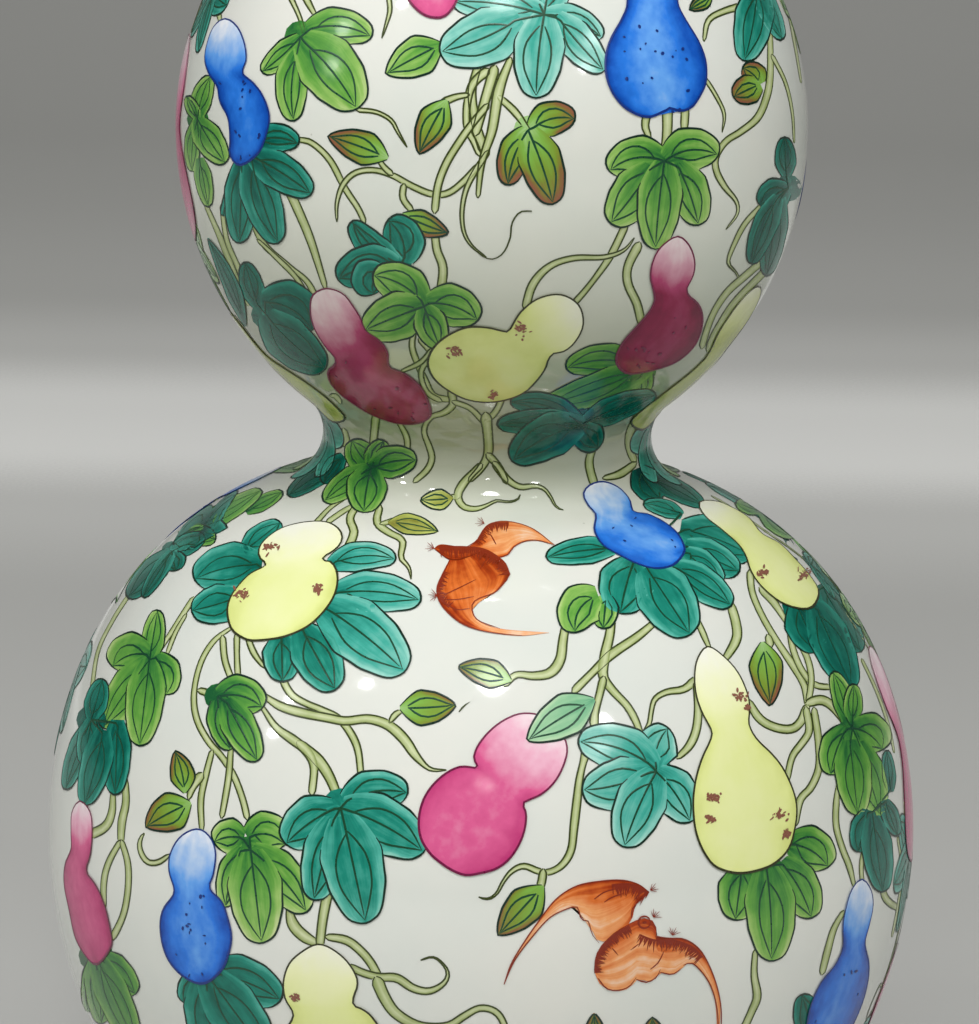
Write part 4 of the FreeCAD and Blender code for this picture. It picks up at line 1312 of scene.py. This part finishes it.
lowerRight = {
    "stems": [
        ([(567, 618), (563, 640), (560, 660), (550, 673), (533, 676), (516, 675), (506, 684)], 8, 8, 9,
          10, 8, 6, 7),
        ([(612, 606), (610, 632), (605, 655), (603, 676), (613, 691), (627, 706), (636, 722), (641, 736)],
          8, 8, 9, 10, 8, 7, 7, 5),
        ([(603, 680), (599, 696), (595, 712), (594, 724)], 8, 7, 7, 9),
        ([(655, 622), (637, 637), (612, 654), (594, 671), (575, 690)], 6, 8, 9, 7, 8),
        ([(731, 606), (736, 624), (736, 640), (725, 659)], 8, 9, 9, 6),
        ([(697, 620), (704, 636), (710, 650)], 5, 6, 3),
        ([(694, 681), (684, 689), (667, 692), (655, 699), (651, 712), (649, 724), (642, 735)], 10, 7, 6,
          5, 4, 4, 3),
        ([(696, 684), (698, 708), (696, 730), (689, 746), (678, 757)], 6, 7, 8, 8, 5),
        ([(750, 573), (752, 592), (762, 616), (776, 640), (793, 666), (804, 686), (808, 704)], 7, 6, 6, 6,
          7, 6, 8),
        ([(762, 590), (774, 603), (786, 622)], 8, 7, 4),
        ([(788, 628), (793, 650), (802, 671), (815, 685), (832, 687)], 3, 6, 6, 6, 5),
        ([(797, 640), (807, 658), (811, 680), (808, 702)], 5, 6, 6, 6),
        ([(809, 703), (821, 700), (834, 708), (846, 724)], 8, 9, 8, 6),
        ([(749, 702), (759, 718), (774, 727), (791, 729), (801, 721), (806, 708)], 6, 8, 8, 8, 8, 8),
        ([(806, 710), (809, 730), (802, 743), (792, 757), (787, 779)], 7, 7, 7, 6, 6),
        ([(814, 710), (818, 738), (819, 766), (811, 787), (800, 800), (796, 824)], 6, 7, 7, 7, 7, 4),
        ([(770, 644), (768, 637)], 8, 6),
        ([(586, 752), (580, 776), (577, 800), (574, 826), (571, 850), (562, 865), (549, 872), (538, 871),
          (524, 866), (512, 871), (503, 882), (497, 893), (488, 899), (479, 897)], 10, 6, 7, 8, 8, 7, 7,
          6, 6, 5, 3, 2, 0.8),
        ([(543, 872), (541, 884), (536, 896)], 7, 8, 14),
        ([(755, 952), (754, 974), (757, 996), (752, 1010), (743, 1030)], 5, 6, 8, 7, 7),
        ([(838, 783), (836, 803), (836, 826), (842, 848), (849, 866), (854, 886)], 3, 6, 6, 6, 6, 3),
        ([(864, 852), (861, 866), (862, 882)], 6, 4, 4),
        ([(843, 912), (834, 928), (828, 948), (822, 972)], 4, 6, 7, 6),
        ([(882, 886), (886, 899), (896, 907)], 5, 7, 7),
        ([(898, 838), (902, 870), (898, 905), (892, 936)], 3, 2.5, 2.5, 2),
        ([(862, 660), (876, 690), (888, 724), (894, 752)], 3, 3, 3, 2),
    ],
    "tendrils": [
        [(459, 712), (464, 706), (470, 702)],
    ],
    "leaves": {
        "tealLimbTop": leafOf("teal", (638, 468), 1.0, 0.75, ((661, 500), 32, 0.1),
            ((650, 478), (704, 506), 22, -0.04)),
        "tealMany": leafOf("teal", (640, 556), 0.62, 0.52, ((682, 516), (643, 504), 18, 0.1),
            ((615, 549), (546, 558), 28, 0.06), ((680, 530), (752, 557), 46, -0.1),
            ((684, 546), (739, 572), 36), ((684, 552), (722, 584), 32),
            ((672, 567), (731, 606), 36, -0.06), ((634, 561), (620, 614), 58, 0.05),
            ((646, 568), (690, 635), 58)),
        "greenCurl": leafOf("green", (598, 596), 0.55, 0.5, ((606, 596), (603, 629), 28),
            ((575, 633), 46, 0.4)),
        "budPale": leafOf("autumn", None, 0.8, 0.2, ((511, 681), (458, 667), 32, 0.06)),
        "paleLeaf": leafOf("greenPale", None, 0.8, 0.45, ((594, 700), (527, 741), 48, 0.04), raised=0.22),
        "limbGreenRight": leafOf("green", (760, 512), 0.9, 0.6, ((735, 503), 14), ((792, 538), 18)),
        "budBottomLeft": leafOf("autumn", None, 0.8, 0.2, ((596, 1066), (594, 1013), 30)),
        "budBottomRight": leafOf("autumn", None, 0.8, 0.2, ((656, 1070), (652, 1017), 36)),
        "brownDrop": leafOf("autumn", None, 0.95, 0.1, ((762, 642), (770, 706), 38, -0.02)),
        "tealDown": leafOf("teal", (800, 605), 0.8, 0.75, ((820, 584), (861, 652), 30),
            ((796, 604), (817, 652), 42), ((814, 604), (852, 690), 42)),
        "greenRight": leafOf("green", (852, 728), 0.95, 0.45, ((846, 722), (832, 672), 22, 0.1),
            ((852, 722), (853, 684), 20), ((882, 750), 44, -0.25), ((846, 728), (830, 775), 36, 0.1),
            ((858, 742), (880, 816), 34), ((849, 740), (857, 815), 38)),
        "tealRightLow": leafOf("teal", (872, 812), 0.85, 0.7, ((890, 792), (886, 750), 14),
            ((884, 800), (897, 836), 18), ((868, 810), (857, 852), 28), ((872, 816), (882, 892), 32)),
        "tealPaleFive": leafOf("tealLight", (656, 772), 0.8, 0.4, ((656, 768), (668, 728), 44, -0.25),
            ((654, 768), (578, 742), 50, 0.18), ((652, 771), (582, 790), 54, -0.12),
            ((690, 822), 46, -0.12), ((624, 847), 52, 0.06)),
        "greenUnderYellow": leafOf("green", (766, 866), 0.95, 0.42, ((788, 844), (828, 867), 48, -0.25),
            ((742, 868), (735, 920), 44), ((780, 862), (811, 918), 44, -0.12), ((771, 961), 52, -0.04)),
        "budDark": leafOf("autumn", None, 0.75, 0.2, ((543, 886), (498, 935), 42)),
        "tealCornerLow": leafOf("teal", (818, 1050), 0.9, 0.7, ((802, 994), 34), ((776, 1036), 36)),
    },
    "gourds": {
        "blueGourd": gourdOf("blue", [(603, 482), (590, 485), (583, 494), (588, 506), (596, 516),
            (594, 530), (602, 545), (618, 555), (636, 564), (655, 569), (672, 566), (682, 556),
            (684, 548)], [(618, 488), (629, 500), (633, 512), (648, 515), (664, 523), (677, 534)],
            spots=6, seed=21, crownEnd=0.45, heartWash=0.46, rimWash=0.9),
        "yellowLong": gourdOf("yellow", [(699, 503), (704, 516), (721, 530), (737, 544), (745, 556),
            (751, 573), (763, 589), (781, 603), (799, 609), (812, 607)], [(716, 502), (735, 510),
            (750, 520), (761, 534), (779, 544), (795, 560), (809, 576), (818, 592)], scars=[(762, 573, 7),
            (803, 575, 7)], seed=22, crownEnd=0.3, heartWash=0.5, rimWash=0.78),
        "yellowBig": gourdOf("yellow", [(707, 647), (697, 659), (694, 677), (696, 697), (703, 716),
            (711, 731), (709, 742), (702, 757), (696, 776), (693, 795), (693, 814), (696, 834),
            (704, 853), (716, 867), (739, 873)], [(722, 656), (736, 671), (745, 689), (749, 706),
            (748, 723), (755, 738), (769, 752), (780, 765), (788, 780), (794, 796), (796, 811),
            (794, 828), (789, 846), (779, 859), (764, 868)], seed=23, crownEnd=0.34, heartWash=0.5,
            rimWash=0.78, scars=[(740, 697, 8), (747, 708, 4), (712, 797, 8), (710, 819, 5),
            (778, 815, 8), (785, 834, 7)]),
        "blueLimb": gourdOf("blue", [(861, 879), (851, 889), (845, 908), (842, 926), (842, 947),
            (834, 965), (821, 981), (811, 1002), (806, 1024), (806, 1045), (812, 1064)], [(870, 890),
            (872, 906), (868, 926), (864, 943), (868, 962), (867, 981), (862, 1001), (853, 1023),
            (840, 1048)], spots=8, seed=24, crownEnd=0.34, heartWash=0.55),
    },
    "bats": {
        "upperBat": {
            "parts": [
                ([(466, 549), (477, 541), (483, 531), (491, 524), (508, 522), (532, 529), (554, 545)],
                 [(466, 549), (480, 555), (497, 558), (508, 555), (513, 548), (524, 542), (538, 541),
                 (554, 545)], (0.8, 0.9, 0.5, 0.4, 0.3, 0.4, 0.5), (0.9, 0.7, 0.4, 0.3, 0.2, 0.3, 0.5)),
                ([(455, 549), (449, 562), (442, 576), (437, 589), (440, 603), (452, 617), (468, 627),
                 (492, 633), (520, 636), (549, 633)], [(455, 549), (482, 552), (502, 564), (510, 575),
                 (496, 592), (479, 599), (472, 606), (477, 620), (500, 629), (549, 633)],
                 (0.95, 0.7, 0.6, 0.75, 0.7, 0.35, 0.25, 0.2), (1.0, 0.98, 0.9, 0.4, 0.2, 0.3, 0.2, 0.2)),
                ([(434, 549), (440, 545), (452, 546), (466, 549), (486, 550)], [(434, 549), (440, 554),
                 (449, 560), (462, 560), (486, 550)], (0.9, 1.0, 0.95, 0.9), (0.9, 0.95, 0.9, 0.9)),
            ],
            "hatching": [
                ([(440, 547), (466, 547), (486, 550), (504, 562), (510, 574)], 13.0),
                ([(444, 572), (438, 586), (440, 600), (448, 608)], -8.0),
                ([(476, 542), (483, 531), (491, 524), (508, 523)], 9.0),
            ],
            "lines": [
                [(466, 548), (477, 541), (483, 531), (491, 524), (508, 522), (532, 529), (555, 546)],
                [(484, 556), (497, 558), (508, 555), (513, 548), (524, 542), (538, 541), (555, 546)],
                [(450, 560), (442, 576), (437, 589), (440, 603), (452, 617), (468, 627), (492, 633),
                 (522, 636)],
                [(510, 575), (496, 592), (479, 599), (472, 606), (477, 620), (500, 629)],
                [(441, 597), (460, 588), (476, 580)],
                [(442, 600), (458, 600), (474, 597)],
                [(443, 602), (456, 610), (470, 609)],
                [(486, 560), (480, 570)],
                [(496, 545), (490, 534)],
            ],
            "hairs": [(434, 549, 200, 5), (484, 524, 200, 5), (437, 596, 175, 6)],
        },
        "lowerBat": {
            "parts": [
                ([(504, 984), (511, 964), (524, 942), (540, 919), (556, 899), (576, 886), (600, 881),
                 (622, 880), (638, 884), (649, 892)], [(504, 984), (514, 961), (531, 938), (549, 918),
                 (566, 909), (578, 908), (585, 921), (593, 932), (600, 942), (618, 934), (631, 920),
                 (636, 904), (649, 892)], (0.35, 0.35, 0.35, 0.4, 0.5, 0.7, 0.9, 1.0),
                 (0.3, 0.3, 0.2, 0.15, 0.12, 0.2, 0.5, 0.95)),
                ([(594, 970), (597, 952), (611, 935), (630, 923), (645, 918), (656, 924), (655, 936),
                 (668, 938), (684, 939), (699, 949), (710, 968), (718, 992), (720, 1014), (717, 1044)],
                 [(594, 970), (599, 983), (610, 990), (624, 990), (634, 983), (639, 978), (649, 982),
                 (660, 973), (674, 974), (684, 966), (691, 962), (703, 974), (712, 990), (716, 1010),
                 (717, 1044)], (0.8, 0.7, 0.55, 0.85, 0.8, 0.5, 0.4, 0.4),
                 (0.5, 0.2, 0.15, 0.2, 0.2, 0.3, 0.3, 0.35)),
            ],
            "hatching": [
                ([(594, 972), (596, 955), (608, 938), (628, 925)], 11.0),
                ([(612, 884), (628, 883), (640, 886), (648, 892)], 15.0),
                ([(640, 934), (654, 939), (672, 939), (690, 945), (702, 956)], 12.0),
            ],
            "lines": [
                [(504, 984), (511, 964), (524, 942), (540, 919), (556, 899), (576, 886), (600, 881),
                 (622, 880), (638, 884), (649, 892)],
                [(504, 984), (514, 961), (531, 938), (549, 918), (566, 909), (577, 907), (581, 919),
                 (588, 921), (592, 934), (599, 943)],
                [(631, 918), (633, 907), (649, 892)],
                [(598, 978), (606, 988), (618, 990), (629, 986), (636, 977)],
                [(636, 979), (646, 982), (656, 977), (660, 969)],
                [(660, 972), (672, 974), (681, 968)],
                [(683, 965), (692, 963), (704, 975), (712, 990), (717, 1012), (718, 1044)],
                [(656, 936), (668, 938), (684, 939), (699, 949), (710, 968), (718, 992), (721, 1016),
                 (719, 1044)],
                [(594, 899), (604, 892), (618, 888)],
                [(604, 902), (612, 897), (624, 893)],
                [(612, 948), (618, 955)],
                [(650, 969), (658, 962), (664, 950)],
                [(638, 944), (630, 950)],
            ],
            "hairs": [(650, 890, -30, 5), (653, 917, -55, 6), (672, 935, -75, 6)],
            "heads": [(644, 922, 6.0)],
        },
    },
}

paintRegion("waist", front, waist)
paintRegion("lowerLeft", front, lowerLeft)
paintRegion("lowerRight", front, lowerRight)

# the back repeats the design with other enamels; the sides, the crown and the underside have sketches of
# their own, in photo pixels about their own middle

backEnamels = {"blue": "ruby", "ruby": "yellow", "yellow": "blue", "teal": "green", "green": "teal",
               "tealLight": "greenPale", "greenPale": "tealLight"}
for name, region in {"upperLeft": upperLeft, "upperRight": upperRight, "waist": waist,
                     "lowerLeft": lowerLeft, "lowerRight": lowerRight}.items():
    paintRegion(name + "Back", turnedFrom(front, 180), recoloured(region, backEnamels))

for name, region in {"hipGourd": (245, 199, hipGourd), "hipGourdLeft": (98, 189, hipGourdLeft),
                     "waistLeaf": (260, 169.5, waistLeaf)}.items():
    paintRegion(name + "Back", beside(*region[:2]), recoloured(region[2], backEnamels))
paintRegion("waistLeafBackLeft", beside(100, 169.5, mirror=True), recoloured(waistLeaf, backEnamels))

upperSide = {
    "stems": [
        ([(4, -320), (-8, -270), (8, -210), (-6, -150), (0, -95)], 6, 6, 5, 5, 6),
        ([(-8, -270), (-34, -240), (-44, -200)], 5, 4, 4),
        ([(8, -210), (36, -180), (44, -140)], 5, 4, 4),
        ([(-40, 40), (-52, 90), (-34, 140), (-46, 200), (-30, 260)], 4, 6, 6, 5, 5),
        ([(20, 150), (30, 200), (16, 240), (24, 290)], 6, 6, 5, 5),
        ([(30, 200), (50, 190), (62, 204), (54, 222), (42, 216)], 3, 3, 2, 1.2, 0.8),
    ],
    "leaves": {
        "high": leafSketch("green", -44, -200, 62, -20, 3, 62),
        "middle": leafSketch("teal", 44, -140, 66, 24, 5, 56),
        "low": leafSketch("green", 14, 118, 70, 10, 5, 56),
        "bud": leafOf("autumn", None, 0.85, 0.1, ((-36, 150), (-72, 190), 32, 0.04)),
    },
    "gourds": {
        "hanging": gourdSketch("pink", 0, -90, 205, 0, 0.03, seed=31, heartWash=0.6),
    },
}
lowerSide = {
    "stems": [
        ([(10, -430), (-4, -370), (12, -310), (-6, -260), (0, -215)], 6, 6, 5, 5, 6),
        ([(12, -310), (44, -290), (60, -250)], 5, 5, 4),
        ([(-50, -60), (-64, 0), (-44, 60), (-58, 130), (-40, 200)], 5, 7, 7, 6, 5),
        ([(46, -40), (50, 20), (10, 70), (-22, 96)], 5, 7, 7, 6),
        ([(-58, 130), (-84, 120), (-96, 140), (-86, 158), (-74, 150)], 3, 3, 2, 1.2, 0.8),
        ([(-6, -370), (6, -340), (16, -312)], 5, 4, 4),
    ],
    "leaves": {
        "high": leafSketch("teal", 16, -312, 54, 24, 3, 60),
        "besideGourd": leafSketch("green", 62, -250, 78, 20, 5, 56),
        "middle": leafSketch("teal", -34, -10, 84, -20, 5, 56),
        "right": leafSketch("green", 60, 10, 70, 34, 5, 56),
        "low": leafSketch("teal", -44, 196, 80, -16, 5, 56),
        "bud": leafOf("autumn", None, 0.85, 0.1, ((24, 300), (52, 356), 38, 0.04)),
    },
    "gourds": {
        "upper": gourdSketch("pink", 0, -212, 225, 2, 0.04, seed=33, heartWash=0.6),
        "lower": gourdSketch("pink", -22, 96, 205, 4, -0.04, seed=34, heartWash=0.6),
    },
}
sideEnamels = {"pink": "blue", "teal": "green", "green": "teal"}
paintRegion("upperSideLeft", beside(-84, 226), upperSide)
paintRegion("upperSideRight", beside(101, 226, mirror=True), recoloured(upperSide, sideEnamels))
paintRegion("lowerSideRight", beside(82, 84), lowerSide)
paintRegion("lowerSideLeft", beside(-104, 84, mirror=True), recoloured(lowerSide, sideEnamels))

limbLeaf = {"leaves": {"leaf": leafSketch("teal", 0, -58, 104, 0, 5, 50)}}
paintRegion("limbLeaf", beside(-90, 106), limbLeaf)

crownVine = {
    "stems": [
        ([(-6, -105), (4, -70), (-8, -40), (-20, -10), (-16, 20)], 4, 5, 5, 5, 5),
        ([(4, -70), (26, -50), (34, -26)], 4, 4, 4),
        ([(-8, -40), (-40, -30), (-58, -10)], 4, 3, 3),
        ([(34, 20), (44, 50), (36, 90), (42, 130)], 5, 5, 5, 4),
    ],
    "leaves": {
        "leaf": leafSketch("teal", 34, -26, 52, 10, 5, 56),
        "bud": leafOf("autumn", None, 0.85, 0.1, ((-56, -12), (-84, 22), 30, 0.04)),
    },
    "gourds": {
        "gourd": gourdSketch("yellow", -16, 16, 105, -10, 0.04, seed=41, heartWash=0.6),
    },
}
footVine = {
    "stems": [
        ([(-10, -60), (4, -20), (-12, 20), (0, 60), (-8, 110)], 6, 6, 6, 5, 3),
        ([(4, -20), (40, -10), (62, 14)], 5, 5, 4),
        ([(-12, 20), (-44, 24), (-64, 44), (-56, 62), (-44, 54)], 5, 4, 3, 1.5, 0.8),
        ([(-90, -40), (-96, 0), (-84, 40), (-92, 90)], 5, 5, 5, 3),
    ],
    "leaves": {
        "leaf": leafSketch("green", -8, 30, 66, -24, 5, 56),
        "bud": leafOf("autumn", None, 0.85, 0.1, ((-86, 30), (-112, 70), 34, 0.04)),
    },
    "gourds": {
        "gourd": gourdSketch("pink", 62, 12, 110, 12, 0.04, seed=43, heartWash=0.6),
    },
}
ringEnamels = [{}, {"yellow": "ruby", "pink": "yellow", "teal": "green", "green": "teal"},
               {"yellow": "blue", "pink": "blue"}]
for turn in range(6):
    paintRegion(f"crownVine{turn}", beside(60 * turn + 12, 277), recoloured(crownVine, ringEnamels[turn % 3]))
for turn in range(9):
    paintRegion(f"footVine{turn}", beside(40 * turn + 8, 27), recoloured(footVine, ringEnamels[turn % 3]))


# floor, backdrop, lights and camera

studio = {
    "floorSize": 7000.0, "sweepRadius": 800.0, "sweepHeight": 2200.0, "sweepSteps": 24, "backEdge": 2600.0,
    "worldColour": "#C9CCCE", "worldStrength": 0.05,
    # the paper's grey with painted light and shade, by how far behind the vase they lie: a bright band where
    # light pools, darker before and beyond it
    "paperLightAndShade": [(0.0, "#BEBEBA"), (0.06, "#BCBCB8"), (0.12, "#B6B6B2"), (0.21, "#B4B4B0"), (0.27, "#C6C6C2"),
              (0.31, "#E6E6E2"), (0.35, "#E2E2DE"), (0.40, "#C0C0BC"), (0.46, "#AEAEAA"), (0.6, "#A8A8A4"),
              (1.0, "#AEAEAA")],
    "fibreSize": 1.5, "fibreDepth": 0.008, "roughness": 0.9,
}


def paperMaterial(look):
    # A roll of matt grey paper with painted light and shade that change with the distance, and a faint fibre.
    material, tree, shader, place = newMaterial("greyPaperPaintedLight", {"Roughness": look["roughness"]})
    spot = addNode(tree, "ShaderNodeSeparateXYZ", {0: place})
    behind = addNode(tree, "ShaderNodeMath", {
        0: spot.outputs["Y"], 1: look["backEdge"] * mm}, operation="DIVIDE")
    fibre = addNode(tree, "ShaderNodeTexNoise", {
        "Vector": place, "Scale": 1 / (look["fibreSize"] * mm), "Detail": 4.0})
    grain = addNode(tree, "ShaderNodeMapRange", {
        "Value": fibre.outputs["Fac"], "To Min": -look["fibreDepth"], "To Max": look["fibreDepth"]})
    shift = addNode(tree, "ShaderNodeMath", {0: behind.outputs[0], 1: grain.outputs[0]}, operation="ADD")
    tint = addNode(tree, "ShaderNodeValToRGB", {"Fac": shift.outputs[0]}, look["paperLightAndShade"])
    tint.color_ramp.interpolation = "EASE"
    tree.links.new(tint.outputs["Color"], shader.inputs["Base Color"])
    return material


def selectBackEdge(sheet, look, bottomOnly):
    # Selects the sheet's edges that lie at its back, or only the one on the floor.
    for edge in sheet.data.edges:
        ends = [sheet.matrix_world @ sheet.data.vertices[i].co for i in edge.vertices]
        edge.select = all(p.y > (look["backEdge"] - 1) * mm and (p.z < mm or not bottomOnly) for p in ends)


def makeStage(look):
    # One sheet of grey paper with painted light and shade: a floor that sweeps up behind.
    bpy.ops.object.select_all(action="DESELECT")
    bpy.ops.mesh.primitive_plane_add(size=look["floorSize"] * mm,
                                     location=(0, (look["backEdge"] - look["floorSize"] / 2) * mm, 0))
    sheet = bpy.context.object
    sheet.name = "paperSweep"
    selectBackEdge(sheet, look, False)
    for vertex in sheet.data.vertices:
        vertex.select = (sheet.matrix_world @ vertex.co).y > (look["backEdge"] - 1) * mm
    for face in sheet.data.polygons:
        face.select = False
    bpy.ops.object.mode_set(mode="EDIT")
    bpy.ops.mesh.extrude_region_move(TRANSFORM_OT_translate={"value": (0, 0, look["sweepHeight"] * mm)})
    bpy.ops.mesh.select_all(action="DESELECT")
    bpy.ops.object.mode_set(mode="OBJECT")
    selectBackEdge(sheet, look, True)
    bpy.ops.object.mode_set(mode="EDIT")
    bpy.ops.mesh.select_mode(type="EDGE")
    bpy.ops.mesh.bevel(offset=look["sweepRadius"] * mm, segments=look["sweepSteps"], affect="EDGES")
    bpy.ops.object.mode_set(mode="OBJECT")
    bpy.ops.object.shade_smooth()
    bpy.ops.object.transform_apply(location=True, rotation=True, scale=True)
    sheet.data.materials.append(paperMaterial(look))


makeStage(studio)
world = bpy.data.worlds.new("softRoom")
world.use_nodes = True
world.node_tree.nodes["Background"].inputs["Color"].default_value = fromHex(studio["worldColour"])
world.node_tree.nodes["Background"].inputs["Strength"].default_value = studio["worldStrength"]
bpy.context.scene.world = world

# azimuth and elevation of each light as seen from the vase, its distance, width, height and watts
fillBoxes = {
    "topBox": (-6.0, 54.0, 1300.0, 1400.0, 600.0, 8.6),
    "frontBox": (-10.0, 16.0, 1500.0, 1600.0, 500.0, 4.2),
    "leftBox": (-80.0, 40.0, 1300.0, 700.0, 600.0, 3.4),
    "rightBox": (80.0, 40.0, 1300.0, 700.0, 600.0, 3.4),
}
mirroredLamps = {
    "windowLamp": (4.0, 56.0, 1100.0, 150.0, 240.0, 2.3),
    "leftLamp": (-64.0, 35.0, 1100.0, 55.0, 70.0, 0.5),
    "leftLowLamp": (-62.0, 24.0, 1100.0, 50.0, 50.0, 0.35),
    "leftHighLamp": (-44.0, 47.6, 1100.0, 60.0, 60.0, 0.45),
    "rightLamp": (40.0, 37.0, 1100.0, 50.0, 100.0, 0.5),
    "rightLowLamp": (35.0, 29.0, 1100.0, 90.0, 70.0, 0.6),
    "frontLamp": (1.0, 21.7, 1100.0, 40.0, 40.0, 0.12),
}
paperLight = {"back": 1450.0, "height": 1300.0, "width": 3000.0, "depth": 1500.0, "watts": 14.0}


def makeLamp(name, shape, width, height, watts, mirrored):
    lamp = bpy.data.lights.new(name, "AREA")
    lamp.shape = shape
    lamp.size, lamp.size_y = width * mm, height * mm
    lamp.energy = watts
    box = bpy.data.objects.new(name, lamp)
    bpy.context.scene.collection.objects.link(box)
    box.visible_glossy = mirrored
    return box


def aimAtVase(box, azimuth, elevation, distance):
    turn, rise = math.radians(azimuth), math.radians(elevation)
    toward = Vector((math.sin(turn) * math.cos(rise), -math.cos(turn) * math.cos(rise), math.sin(rise)))
    box.location = Vector((0, 0, vase["waistHeight"] * mm)) + toward * distance * mm
    box.rotation_euler = (-toward).to_track_quat("-Z", "Y").to_euler()


# the big boxes only fill, and the glaze mirrors the small lamps
for name, (*spot, width, height, watts) in fillBoxes.items():
    aimAtVase(makeLamp(name, "RECTANGLE", width, height, watts, False), *spot)
for name, (*spot, width, height, watts) in mirroredLamps.items():
    aimAtVase(makeLamp(name, "ELLIPSE", width, height, watts, True), *spot)

# one more box hangs over the paper behind the vase and lights it from above
paperBox = makeLamp("paperBox", "RECTANGLE", paperLight["width"], paperLight["depth"], paperLight["watts"],
                    False)
paperBox.location = (0, paperLight["back"] * mm, paperLight["height"] * mm)

lens = bpy.data.cameras.new("photoCamera")
camera = bpy.data.objects.new("photoCamera", lens)
bpy.context.scene.collection.objects.link(camera)
tilt, roll = math.radians(photo["elevation"]), math.radians(photo["roll"])
backward = Vector((0, -math.cos(tilt), math.sin(tilt)))
camera.location = (Vector((photo["aimSide"], 0, photo["aimHeight"])) + backward * photo["distance"]) * mm
camera.rotation_mode = "QUATERNION"
level = (-backward).to_track_quat("-Z", "Y")
lens.sensor_width = 36.0
lens.lens = photo["distance"] / photo["mmPerPixel"] * lens.sensor_width / photo["height"]
camera.rotation_quaternion = level @ Quaternion((0, 0, 1), roll)
bpy.context.scene.camera = camera
bpy.context.scene.view_settings.view_transform = "Standard"
